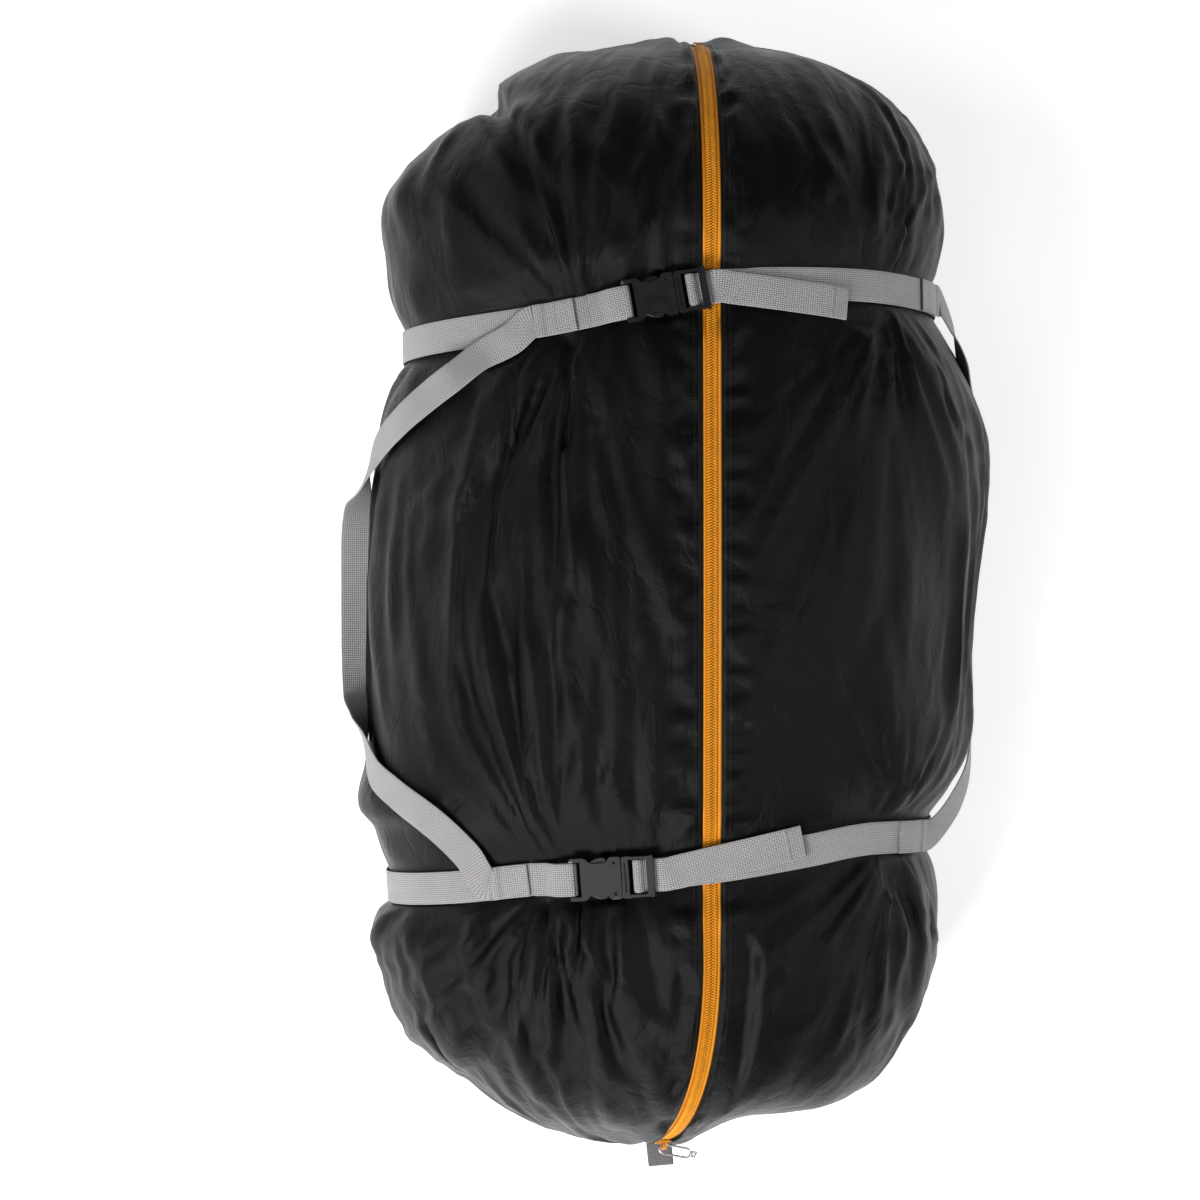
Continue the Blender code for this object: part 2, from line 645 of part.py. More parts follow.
def right_strap(name, at, frame_matrix):
    """Adjustable webbing: from the base round the right side to under the ladder lock."""
    near = webbing_in_frame(frame_matrix, [(14 * MM, 1.0 * MM), (24 * MM, 1.0 * MM), (33 * MM, 0.6 * MM)])
    ring, normals = strap_ring(at, 1, float(near[-1][0]) + 0.012, 34)
    centres = np.concatenate([near, ring])
    first = turned(np.concatenate([near, ring[:1]]), frame_matrix)[:-1]
    return ribbon(name, centres[::-1], np.concatenate([first, normals])[::-1], WEBBING)


def lock_loop(name, frame_matrix):
    """The same webbing where it turns over the ladder lock's middle bar and under its outer bar."""
    bar_x, bar_z = 11.95 * MM, 4.2 * MM
    turn = [(bar_x + 2.55 * MM * math.cos(a), bar_z + 2.75 * MM * math.sin(a))
            for a in np.linspace(-math.pi * 0.62, -math.pi * 1.5, 11)]
    line = [(13.2 * MM, 1.45 * MM)] + turn + [(13.8 * MM, 6.4 * MM), (15.6 * MM, 5.0 * MM),
                                              (17.6 * MM, 3.7 * MM), (20 * MM, 3.25 * MM),
                                              (24.4 * MM, 3.25 * MM)]
    line = line[1:]
    centres = webbing_in_frame(frame_matrix, line)
    return ribbon(name, centres, turned(centres, frame_matrix), WEBBING)


def tail(name, at, frame_matrix, end):
    """The strap's loose end, lying on the strap; its origin is where it leaves the lock."""
    start = frame_matrix @ Vector((25.4 * MM, 0, 3.25 * MM))
    centres = list(webbing_in_frame(frame_matrix, [(25.4 * MM, 3.25 * MM), (32 * MM, 3.3 * MM)]))
    normals = [np.array(frame_matrix.col[2][:3])] * 2
    first_x, start_y = centres[1][:2]
    end_x, end_y = end
    for s in np.linspace(0, 1, 10)[1:]:
        x = first_x + (end_x - first_x) * s
        angle = angle_at(at, x)
        normal = bag_normal(angle, at)
        lift = WEB_LIFT + WEB * 1.5 + 1.6 * MM + 1.2 * MM * math.sin(math.pi * s)
        point = bag_point(angle, at) + normal * lift
        point[1] += (end_y - bag_point(angle_at(at, end_x), at)[1]) * ease(s)
        point[1] += (start_y - bag_point(angle_at(at, first_x), at)[1]) * (1 - ease(s * 1.5))
        centres.append(point)
        normals.append(normal)
    obj = ribbon(name, np.array(centres)[::-1], np.array(normals)[::-1], WEBBING)
    obj.data.transform(Matrix.Translation(-start))
    obj.location = start
    return obj


def buckle_and_strap(word, at, mouth_x, tail_end):
    matrix = buckle_matrix(at, mouth_x)
    frame = empty(f"buckle_{word}_frame", matrix)
    socket(f"buckle_{word}_socket", frame)
    plug(f"buckle_{word}_plug", frame)
    prong(f"buckle_{word}_prong_upper", frame, 1)
    prong(f"buckle_{word}_prong_lower", frame, -1)
    left_strap(f"strap_{word}_left", at, matrix)
    right_strap(f"strap_{word}_right", at, matrix)
    lock_loop(f"strap_{word}_lock_loop", matrix)
    tail(f"strap_{word}_tail", at, matrix, tail_end)


# ---------------------------------------------------------------- handles

def on_bag(x, y, lift):
    """A point this far outside the top of the bag, and the normal there."""
    v = y
    for _ in range(12):
        angle = angle_at(v, x)
        v += y - bag_point(angle, v)[1]
    normal = bag_normal(angle, v)
    return bag_point(angle, v) + normal * lift, normal


def smooth_line(points, count):
    """Evenly spaced points on a smooth curve through a few given ones."""
    points = np.array(points, float)
    run = np.concatenate([[0], np.cumsum(np.linalg.norm(np.diff(points[:, :3], axis=0), axis=1))])
    at = np.linspace(0, run[-1], count)
    return np.stack([through(list(zip(run, points[:, k])))(at) for k in range(points.shape[1])], 1)


def sewn_line(at, x_inner, x_outer):
    """Points and normals of a handle's end, which lies flat on top of a strap."""
    angles = angles_between(at, angle_at(at, x_inner), angle_at(at, x_outer), 5)
    normals = bag_normal(angles, at)
    return bag_point(angles, at) + normals * PATCH_LIFT, normals


def set_off(centres, normals):
    """The first two points of a handle's free part, straight on from its sewn end."""
    onward = (centres[-1] - centres[-2]) / np.linalg.norm(centres[-1] - centres[-2])
    risen = centres[-1] + normals[-1] * GRIP_RISE
    return [(risen + onward * reach, normals[-1]) for reach in (PATCH_GAP, PATCH_GAP + SET_OFF)]


def patch(name, centres, normals, hinge):
    """A sewn end. Its outer edge is cut in line with the axis that the handle swings about."""
    hinge = hinge - normals[-1] * np.dot(hinge, normals[-1])
    if centres[-1][0] > centres[0][0]:
        return ribbon(name, centres[::-1], normals[::-1], WEBBING, cuts={0: hinge})
    return ribbon(name, centres, normals, WEBBING, cuts={len(centres) - 1: hinge})


def handle(word, head_end, foot_end, middle, count=44):
    """Two sewn ends and the free part between them; middle lists (position, facing) pairs.

    The free part's origin is its end at the head strap, on the line through both of its ends.
    """
    head, foot = sewn_line(HEAD_STRAP_Y, *head_end), sewn_line(FOOT_STRAP_Y, *foot_end)
    start, end = set_off(*head), set_off(*foot)
    origin = start[0][0]
    hinge = origin - end[0][0]
    hinge /= np.linalg.norm(hinge)
    patch(f"handle_{word}_sewn_head", *head, hinge)
    patch(f"handle_{word}_sewn_foot", *foot, hinge)
    rows = [np.concatenate(pair) for pair in (*start, *middle, *end[::-1])]
    line = np.concatenate([rows[:1], smooth_line(rows[1:-1], count), rows[-1:]])
    normals = line[:, 3:] / np.linalg.norm(line[:, 3:], axis=1, keepdims=True)
    obj = ribbon(f"handle_{word}_grip", line[:, :3], normals, WEBBING, cuts={0: hinge, count + 1: hinge})
    obj.data.transform(Matrix.Translation(-Vector(origin)))
    obj.location = origin


def shoulder(points, lift):
    """Points above the bag at each (x, y), facing across the bag."""
    pairs = [on_bag(x, y, lift) for x, y in points]
    return [(point, normal * (1, 0.2, 1)) for point, normal in pairs]


def left_handle():
    """Sewn on beside both buckles, over the left shoulder and standing out beside the bag."""
    head = shoulder([(-0.124, 0.1905), (-0.146, 0.1760), (-0.166, 0.1620), (-0.186, 0.1485),
                     (-0.207, 0.1315), (-0.2245, 0.1140)], 7.5 * MM)
    foot = shoulder([(-0.2290, -0.1400), (-0.2110, -0.1550), (-0.182, -0.1755), (-0.158, -0.1960)],
                    7.5 * MM)
    free = [((-0.2440, 0.0930, 0.158), (-1.0, 0.1, -0.15)), ((-0.2525, 0.0700, 0.133), (-0.5, 0.0, -0.85)),
            ((-0.2552, 0.0350, 0.118), (-0.15, 0.0, -1.0)), ((-0.2555, 0.0000, 0.113), (-0.1, 0.0, -1.0)),
            ((-0.2552, -0.0400, 0.115), (-0.15, 0.0, -1.0)), ((-0.2535, -0.0800, 0.124), (-0.3, 0.0, -0.95)),
            ((-0.2505, -0.1050, 0.143), (-0.8, 0.0, -0.6)), ((-0.2440, -0.1230, 0.166), (-1.0, 0.0, 0.0))]
    handle("left", (-0.0775, -0.1000), (-0.1125, -0.1330), head + free + foot)


def right_handle():
    """Sewn on at the right shoulder and hanging beside the bag, under its bulge."""
    free = [((0.2195, 0.2080, 0.1450), (1.0, -0.1, 0.1)),
            ((0.2290, 0.1780, 0.1400), (1.0, -0.1, -0.25)), ((0.2400, 0.1450, 0.1150), (1.0, 0.0, -0.2)),
            ((0.2455, 0.1100, 0.0930), (1.0, 0.0, 0.0)), ((0.2445, 0.0600, 0.0780), (1.0, 0.0, 0.0)),
            ((0.2425, 0.0000, 0.0720), (1.0, 0.0, 0.0)), ((0.2405, -0.0500, 0.0740), (1.0, 0.0, 0.0)),
            ((0.2400, -0.0900, 0.0860), (1.0, 0.0, 0.0)), ((0.2380, -0.1180, 0.1080), (1.0, 0.0, 0.1)),
            ((0.2330, -0.1400, 0.1350), (1.0, 0.0, 0.15)),
            ((0.2190, -0.1660, 0.1640), (0.9, 0.0, 0.3))]
    handle("right", (0.1843, 0.1985), (0.1660, 0.1835), free)


# ---------------------------------------------------------------- what the bag holds

def bundle(name, low, high, round_off, turn=0.0):
    """A folded stack of cloth with soft edges."""
    middle = (np.array(low) + np.array(high)) / 2
    obj = box(name, np.array(low) - middle, np.array(high) - middle, BED)
    obj.location = middle
    obj.rotation_euler.z = turn
    return bevel(obj, round_off, 3)


def contents():
    bundle("hammock_bed_folded", (-0.140, -0.285, 0.125), (0.150, 0.255, 0.230), 0.040)
    bundle("rain_fly_folded", (-0.132, -0.280, 0.022), (0.138, 0.260, 0.105), 0.028)
    for word, x in (("left", -0.062), ("right", 0.062)):
        roll = bevel(cylinder(f"tree_strap_roll_{word}", 0.044, 0.050, WEBBING), 0.003)
        roll.location = (x, 0.336, 0.105)
        link = [(0.012 * math.cos(a) * (1.25 if math.sin(a) > 0 else 0.9), 0.034 * math.sin(a), 0)
                for a in np.linspace(0, 2 * math.pi, 28, endpoint=False)]
        hook = wire(f"carabiner_{word}", link, 0.0035, STEEL)
        hook.location = (x, 0.345, 0.145)


side_panel("bag_left_panel", -1)
side_panel("bag_right_panel", 1)
base_panel()
end_panel("bag_head_panel", 1)
end_panel("bag_foot_panel", -1)
zip_tapes_and_coils()
zip_stops()
pull(*slider())
end_tab()
buckle_and_strap("head", HEAD_STRAP_Y, -0.0030, (0.1236, 0.2172))
buckle_and_strap("foot", FOOT_STRAP_Y, -0.0428, (0.0905, -0.1868))
left_handle()
right_handle()
contents()
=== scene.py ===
"""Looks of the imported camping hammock: a soft black carry bag seen from above on a white floor.

Metres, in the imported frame: +Y runs to the bag's head end, +Z up. The shape of the bag, its straps and
its handles follow the same dimensions as the engineering model, and cloth is simulated over it.
"""

import json
import math

import bmesh
import bpy
import numpy as np
from mathutils import Matrix, Vector, noise
from mathutils.bvhtree import BVHTree
from mathutils.kdtree import KDTree

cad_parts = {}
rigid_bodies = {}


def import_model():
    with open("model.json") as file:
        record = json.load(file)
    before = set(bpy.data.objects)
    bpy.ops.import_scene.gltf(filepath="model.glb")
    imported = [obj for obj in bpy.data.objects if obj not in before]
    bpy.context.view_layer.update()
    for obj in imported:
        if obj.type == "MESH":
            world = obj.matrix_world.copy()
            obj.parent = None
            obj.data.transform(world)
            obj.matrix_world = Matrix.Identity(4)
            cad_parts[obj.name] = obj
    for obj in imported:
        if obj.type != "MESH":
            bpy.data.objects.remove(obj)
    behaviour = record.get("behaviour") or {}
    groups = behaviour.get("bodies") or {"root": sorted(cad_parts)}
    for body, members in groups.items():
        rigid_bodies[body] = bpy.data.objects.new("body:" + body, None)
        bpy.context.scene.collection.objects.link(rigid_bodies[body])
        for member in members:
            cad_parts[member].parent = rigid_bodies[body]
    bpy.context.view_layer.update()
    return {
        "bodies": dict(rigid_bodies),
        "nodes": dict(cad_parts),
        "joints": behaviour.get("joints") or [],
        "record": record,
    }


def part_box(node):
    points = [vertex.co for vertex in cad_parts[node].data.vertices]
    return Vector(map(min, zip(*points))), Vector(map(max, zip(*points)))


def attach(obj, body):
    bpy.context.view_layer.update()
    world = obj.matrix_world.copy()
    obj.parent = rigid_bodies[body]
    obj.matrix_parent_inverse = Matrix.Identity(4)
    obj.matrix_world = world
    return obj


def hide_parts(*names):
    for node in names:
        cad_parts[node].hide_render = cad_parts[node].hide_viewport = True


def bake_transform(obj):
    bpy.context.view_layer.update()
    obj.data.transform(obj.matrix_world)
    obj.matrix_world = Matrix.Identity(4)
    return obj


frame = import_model()
MM = 0.001

# ---------------------------------------------------------------- dimensions of the bag

CROWN_X = 0.0236
CROWN_Z = 0.287
BELLY_RISE = 0.013
ARC_START = 0.275
ARC_RADIUS = 0.158
ARC_SWEEP = math.radians(78.8)
FOOT_LEAN = math.radians(16.66)
HEAD_LEAN = math.radians(2.75)
BAG_END = 0.430
DOME = 0.006
TOP_ROUNDNESS = 2.3
BASE_ROUNDNESS = 3.2
BASE_CLIP = 1.06
WAIST_Z = 0.130
WAIST_SQUEEZE = 0.05
WAIST_FLAT = 0.0165
WAIST_BLEND = 0.026
LEFT_EDGE = [(-0.43, -0.100), (-0.40, -0.150), (-0.35, -0.194), (-0.29, -0.232), (-0.12, -0.242),
             (0.02, -0.240), (0.12, -0.233), (0.22, -0.226), (0.30, -0.228), (0.35, -0.198),
             (0.40, -0.142), (0.43, -0.105)]
RIGHT_EDGE = [(-0.43, 0.030), (-0.415, 0.075), (-0.39, 0.135), (-0.35, 0.180), (-0.29, 0.203),
              (-0.20, 0.208), (-0.12, 0.234), (0.00, 0.239), (0.11, 0.244), (0.22, 0.212),
              (0.31, 0.210), (0.38, 0.180), (0.41, 0.145), (0.43, 0.100)]
WIDEST_Z = [(-0.43, 0.100), (-0.33, 0.125), (0.33, 0.125), (0.43, 0.100)]
BASE_Z = [(-0.43, 0.045), (-0.39, 0.012), (-0.34, 0.0), (0.34, 0.0), (0.39, 0.012), (0.43, 0.045)]
HEAD_STRAP_Y = 0.2272
FOOT_STRAP_Y = -0.2056
STRAPS = {"head": HEAD_STRAP_Y, "foot": FOOT_STRAP_Y}
HEAD_STRAP_LINE = [(-0.226, 0.1935), (-0.12, 0.203), (-0.04, 0.2165), (0.0236, 0.2272),
                   (0.07, 0.231), (0.14, 0.2320), (0.212, 0.229)]
FOOT_STRAP_LINE = [(-0.240, -0.2320), (-0.176, -0.2246), (-0.111, -0.2160), (-0.05, -0.2130),
                   (0.0236, -0.2056), (0.0936, -0.1950), (0.1536, -0.1868), (0.206, -0.1890)]
LINE_REACH = 0.10
WEB_WIDTH = 0.025
WEB = 1.5 * MM
WEB_LIFT = 2.2 * MM
PATCH_LIFT = WEB_LIFT + WEB * 1.5 + 0.5 * MM
PATCH_GAP = 2.2 * MM
GRIP_RISE = 1.2 * MM
SHOULDER_LIFT = 7.5 * MM  # of a handle's middle line, where it crosses the bag's shoulder
SET_OFF = 7.0 * MM
ZIP_OPENING = 7.6 * MM
COIL = 1.6 * MM
ROLL_IN = 0.040
SLIDER_SETBACK = 8.5 * MM
BRIDGE_Z = 4.6 * MM
PULL_RISE = math.radians(13)
BUCKLE_HALF = 16.0 * MM
BUCKLE_HEIGHT = 9.0 * MM
BUCKLE_LIFT = 2.5 * MM
BUCKLE_MIDDLE = 7.0 * MM  # from the middle of a buckle to its socket's mouth
SOCKET_LENGTH = 39.0 * MM
PLUG_LENGTH = 24.6 * MM
SLOT_HALF = 13.0 * MM
BAR_Z = 4.5 * MM

# Cloth
HALF_COLUMNS = 84  # columns of cloth cells between the zip and the middle of the base
ROW_STEP = 7.6 * MM
SLACK = 0.10  # how much larger the cloth is than the full bag
CLOTH_LIFT = 1.0 * MM  # where the cloth is held, above the bag's surface
PINNED_BAND = 0.0135  # half the width of the cloth that a strap holds down
CORE_INSET = 5.0 * MM
SIM_FRAMES = 44
GATHER_FRAMES = 22
CAP_RINGS = 9  # rings of cloth that close each end
# Where the straps gather the cloth: (strap, side, distance round from the zip, spread, share)
GATHERS = [("head", -1, 0.105, 0.016, 0.50), ("head", -1, 0.050, 0.014, 0.15),
           ("head", -1, 0.300, 0.040, 0.35),
           ("head", 1, 0.150, 0.020, 0.55), ("head", 1, 0.060, 0.020, 0.10),
           ("head", 1, 0.300, 0.040, 0.35),
           ("foot", -1, 0.125, 0.018, 0.45), ("foot", -1, 0.075, 0.014, 0.25),
           ("foot", -1, 0.300, 0.040, 0.30),
           ("foot", 1, 0.150, 0.022, 0.60), ("foot", 1, 0.300, 0.040, 0.40)]


def through(points):
    """A smooth curve through (position, value) pairs that never overshoots them."""
    x, y = np.array(points, float).T
    steps = np.diff(x)
    slopes = np.diff(y) / steps
    tangents = np.zeros(len(x))
    same = slopes[:-1] * slopes[1:] > 0
    harmonic = 2 * slopes[:-1] * slopes[1:] / np.where(same, slopes[:-1] + slopes[1:], 1)
    tangents[1:-1] = np.where(same, harmonic, 0)
    tangents[0], tangents[-1] = slopes[0], slopes[-1]

    def value(q):
        q = np.clip(q, x[0], x[-1])
        i = np.clip(np.searchsorted(x, q, side="right") - 1, 0, len(steps) - 1)
        h = steps[i]
        s = (q - x[i]) / h
        rise = s * s * (3 - 2 * s)
        return (y[i] * (1 - rise) + y[i + 1] * rise
                + h * tangents[i] * s * (1 - s) ** 2 - h * tangents[i + 1] * s * s * (1 - s))

    return value


left_edge, right_edge = through(LEFT_EDGE), through(RIGHT_EDGE)
widest_z, base_z = through(WIDEST_Z), through(BASE_Z)
head_line, foot_line = through(HEAD_STRAP_LINE), through(FOOT_STRAP_LINE)


def ease(x):
    """Rises from 0 to 1 with a soft start and end."""
    x = np.clip(x, 0, 1)
    return x * x * (3 - 2 * x)


def crown(v):
    """(x, z) of the crown at row v, before the straps squeeze it."""
    beyond = abs(v) - ARC_START
    if beyond <= 0:
        return CROWN_X, CROWN_Z + BELLY_RISE * (0.5 + 0.5 * math.cos(math.pi * v / ARC_START))
    lean = HEAD_LEAN if v > 0 else FOOT_LEAN
    drop = ARC_RADIUS - math.sqrt(max(ARC_RADIUS ** 2 - beyond ** 2, 0))
    return CROWN_X - drop * math.sin(lean), CROWN_Z - drop * math.cos(lean)


def strap_gap(y):
    """Distance along Y to the nearer strap's row."""
    return np.minimum(abs(y - HEAD_STRAP_Y), abs(y - FOOT_STRAP_Y))


def under_strap(v):
    """Whether a strap holds down the cloth of row v."""
    return strap_gap(v) <= PINNED_BAND + 1e-6


def squeeze(v):
    """1 on the band under a strap, falling to 0 beside it."""
    return sum(1 - ease((abs(v - at) - WAIST_FLAT) / WAIST_BLEND)
               for at in STRAPS.values())


def slant(x, v, on_top):
    """How far row v moves along Y at x, so that the rows near a strap follow its line."""
    shift = 0
    for line, at in ((head_line, HEAD_STRAP_Y), (foot_line, FOOT_STRAP_Y)):
        ends = [line(left_edge(at)), line(right_edge(at))]
        under = ends[0] + (ends[1] - ends[0]) * (x - left_edge(at)) / (right_edge(at) - left_edge(at))
        share = 1 - ease((abs(v - at) - WAIST_FLAT) / LINE_REACH)
        shift = shift + share * (np.where(on_top, line(x), under) - at)
    return shift


def bag_point(t, v, waist=1.0):
    """Points of the bag's outer surface on row v at angles t: a quarter turn is the crown."""
    t = np.asarray(t, float)
    c, s = np.cos(t), np.sin(t)
    x_mid, z_top = crown(v)
    z_mid, z_low = widest_z(v), base_z(v)
    top = s >= 0
    power = np.where(top, 2 / TOP_ROUNDNESS, 2 / BASE_ROUNDNESS)
    reach = np.where(c > 0, right_edge(v) - x_mid, x_mid - left_edge(v))
    x = x_mid + np.sign(c) * reach * np.abs(c) ** power
    z = np.where(top, z_mid + (z_top - z_mid) * np.abs(s) ** power,
                 np.maximum(z_low, z_mid - (z_mid - z_low) * BASE_CLIP * np.abs(s) ** power))
    y = v + slant(x, v, top)
    keep = 1 - WAIST_SQUEEZE * squeeze(v) * waist
    return np.stack([x_mid + (x - x_mid) * keep, y, WAIST_Z + (z - WAIST_Z) * keep], -1)


def bag_normal(t, v, step=2e-4):
    """Outward unit normals of the surface at the same points."""
    t = np.asarray(t, float)
    low, high = max(v - step, -BAG_END), min(v + step, BAG_END)
    along = bag_point(t, high) - bag_point(t, low)
    around = bag_point(t + 2e-3, v) - bag_point(t - 2e-3, v)
    n = np.cross(along, around)
    return n / np.linalg.norm(n, axis=-1, keepdims=True)


def angles_between(v, start, end, count, from_end=0.0):
    """Angles that divide the surface between two angles of row v into equal lengths."""
    fine = np.linspace(start, end, 500)
    run = run_lengths(bag_point(fine, v))
    return np.interp(np.linspace(0, run[-1] - from_end, count), run, fine)


def angle_at(at, x):
    """The angle on the top of row at whose point has this x."""
    fine = np.linspace(math.pi, 0, 2000)
    return float(np.interp(x, bag_point(fine, at)[:, 0], fine))


def on_bag(x, y, lift):
    """A point this far outside the top of the bag, and the normal there."""
    v = y
    for _ in range(12):
        angle = angle_at(v, x)
        v += y - bag_point(angle, v)[1]
    normal = bag_normal(angle, v)
    return bag_point(angle, v) + normal * lift, normal


def run_lengths(points):
    """Distance along a line of points, at each of them."""
    return np.concatenate([[0], np.cumsum(np.linalg.norm(np.diff(points, axis=0), axis=1))])


def unit(vectors):
    return vectors / np.linalg.norm(vectors, axis=-1, keepdims=True)


def zip_frames(v):
    """Points on the zip's line at rows v, with the directions along it, to its right and outward."""
    v = np.asarray(v, float)
    step = 2e-4
    points = np.array([bag_point(math.pi / 2, q) for q in v])
    ahead = np.array([bag_point(math.pi / 2, min(q + step, BAG_END)) for q in v])
    behind = np.array([bag_point(math.pi / 2, max(q - step, -BAG_END)) for q in v])
    along = unit(ahead - behind)
    lean = np.where(v > 0, HEAD_LEAN, FOOT_LEAN) * ease((abs(v) - ARC_START + ROLL_IN) / ROLL_IN)
    side = np.stack([np.cos(lean), 0 * lean, -np.sin(lean)], 1)
    side = unit(side - along * np.sum(side * along, axis=1, keepdims=True))
    return points, along, side, np.cross(side, along)


# ---------------------------------------------------------------- the cloth of the bag

def half_ring(v, side, waist):
    """Finely spaced angles and run lengths on row v from the crown to the middle of the base."""
    end = -math.pi / 2 if side > 0 else 1.5 * math.pi
    fine = np.linspace(math.pi / 2, end, 700)
    return fine, run_lengths(bag_point(fine, v, waist))


def gathered(word, side, total):
    """Maps evenly spaced cloth to places on a strapped ring of this length, closer at the gathers."""
    place = np.linspace(ZIP_OPENING, total, 2000)
    density = np.ones_like(place)
    full = half_ring(STRAPS[word], side, 0.0)[1][-1]
    excess = (full * (1 + SLACK) - ZIP_OPENING) / (total - ZIP_OPENING) - 1
    for strap, on, at, spread, share in GATHERS:
        if strap == word and on == side:
            hump = np.exp(-0.5 * ((place - at) / spread) ** 2)
            density += share * excess * hump * (total - ZIP_OPENING) / np.trapz(hump, place)
    run = np.concatenate([[0], np.cumsum((density[1:] + density[:-1]) / 2)])
    return place, run / run[-1]


def cloth_rows():
    """Rows of the cloth, even except that they fit the bands under the straps."""
    stops = [-BAG_END]
    for at in (FOOT_STRAP_Y, HEAD_STRAP_Y):
        stops += [at - PINNED_BAND, at + PINNED_BAND]
    stops.append(BAG_END)
    rows = []
    for low, high in zip(stops[:-1], stops[1:]):
        count = max(2, round((high - low) / ROW_STEP))
        rows += list(np.linspace(low, high, count, endpoint=False))
    return rows + [BAG_END]


def ring_points(v, waist, gather):
    """One row of the cloth, from the right of the zip round the base to its left."""
    halves = []
    for side in (1, -1):
        angles, run = half_ring(v, side, waist)
        share = np.linspace(0, 1, HALF_COLUMNS + 1)
        place = ZIP_OPENING + (run[-1] - ZIP_OPENING) * share
        for word, at in STRAPS.items():
            closeness = 1 - ease((abs(v - at) - PINNED_BAND - 0.001) / 0.05)
            if gather and closeness > 0:
                positions, fraction = gathered(word, side, run[-1])
                place += closeness * (np.interp(share, fraction, positions) - place)
        t = np.interp(place, run, angles)
        halves.append((bag_point(t, v, waist), bag_normal(t, v)))
    (right, right_n), (left, left_n) = halves
    middle, _, side, up = (part[0] for part in zip_frames([v]))
    if waist:
        right[0], left[0] = middle + side * ZIP_OPENING, middle - side * ZIP_OPENING
        right_n[0] = left_n[0] = up
    return np.concatenate([right, left[-2::-1]]), np.concatenate([right_n, left_n[-2::-1]])


def closed_grid(rows_points):
    """Adds rings that close both ends to a list of rows of points."""
    caps = []
    for rim, end in ((rows_points[0], -1), (rows_points[-1], 1)):
        centre = rim.mean(0)
        rings = []
        for ring in np.linspace(1, 0.04, CAP_RINGS + 1)[1:]:
            points = centre + (rim - centre) * ring
            points[:, 1] = rim[:, 1] * ring + end * (BAG_END + DOME) * (1 - ring)
            points[0] = points[-1] = (points[0] + points[-1]) / 2
            rings.append(points)
        caps.append(rings)
    return np.array(caps[0][::-1] + rows_points + caps[1])


def linked(name, data):
    """A new object in the scene."""
    obj = bpy.data.objects.new(name, data)
    bpy.context.scene.collection.objects.link(obj)
    return obj


def grid_faces(rows, columns):
    """Quads between the points of a grid; its first and last columns stay apart."""
    index = np.arange(rows * columns).reshape(rows, columns)
    faces = np.stack([index[:-1, :-1], index[:-1, 1:], index[1:, 1:], index[1:, :-1]], -1)
    return faces.reshape(-1, 4).tolist()


def read(items, attribute):
    """One vector of each item of a mesh, as rows of an array."""
    values = np.zeros(len(items) * 3, np.float32)
    items.foreach_get(attribute, values)
    return values.reshape(-1, 3).astype(float)


def search_tree(points):
    tree = KDTree(len(points))
    for i, point in enumerate(points):
        tree.insert(point, i)
    tree.balance()
    return tree


def grid_mesh(name, points):
    """A mesh of quads over points[row][column]."""
    mesh = bpy.data.meshes.new(name)
    mesh.from_pydata(points.reshape(-1, 3).tolist(), [], grid_faces(*points.shape[:2]))
    mesh.update()
    return linked(name, mesh)


def cloth_shapes(rows):
    """The cloth as cut, larger than the full bag, and as the zip, straps and ends hold it."""
    cut, held = [], []
    for v in rows:
        points, normals = ring_points(v, 0.0, False)
        bumps = np.array([noise.noise(Vector(point) * 22) for point in points])
        cut.append(points + normals * (3.0 + 1.5 * bumps[:, None]) * MM)
        points, normals = ring_points(v, 1.0, True)
        held.append(points + normals * CLOTH_LIFT)
    return closed_grid(cut), closed_grid(held)


def pin(cloth, rows, shape):
    """Holds the cloth at the zip, under the straps and in the middle of each end."""
    weights = np.zeros(shape)
    weights[:, 0] = weights[:, -1] = 1
    for i, v in enumerate(rows):
        if under_strap(v):
            weights[i + CAP_RINGS] = 1
    weights[0] = weights[-1] = 1
    pins = cloth.vertex_groups.new(name="pins")
    pins.add([int(i) for i in np.flatnonzero(weights)], 1.0, "REPLACE")


def colliders():
    """What fills the bag, and the floor under it."""
    core_rows = []
    for v in np.linspace(-BAG_END, BAG_END, 70):
        angles = np.linspace(0, 2 * math.pi, 97)
        core_rows.append(bag_point(angles, v) - bag_normal(angles, v) * CORE_INSET)
    core = grid_mesh("core", closed_grid(core_rows)[:, ::-1])
    ground = grid_mesh("ground", np.array([[(x, y, 0) for x in (-0.6, 0.6)] for y in (-0.7, 0.7)]))
    for obj in (core, ground):
        obj.modifiers.new("collide", "COLLISION")
        obj.collision.thickness_outer = 0.002
        obj.collision.cloth_friction = 4
    return [core, ground]


def simulate_bag(rows):
    """Gathers the cloth round the full bag, and returns where it settles."""
    cut, held = cloth_shapes(rows)
    cloth = grid_mesh("settling_cloth", cut)
    cloth.shape_key_add(name="cut")
    key = cloth.shape_key_add(name="held")
    key.data.foreach_set("co", held.reshape(-1).astype(np.float32))
    key.value = 0
    key.keyframe_insert("value", frame=1)
    key.value = 1
    key.keyframe_insert("value", frame=GATHER_FRAMES)
    pin(cloth, rows, cut.shape[:2])
    others = colliders()
    cloth_settings(cloth)
    scene = bpy.context.scene
    for f in range(1, SIM_FRAMES + 1):
        scene.frame_set(f)
    settled = cloth.evaluated_get(bpy.context.evaluated_depsgraph_get())
    result = read(settled.data.vertices, "co")
    for obj in [cloth, *others]:
        bpy.data.objects.remove(obj)
    scene.frame_set(1)
    return result.reshape(cut.shape)


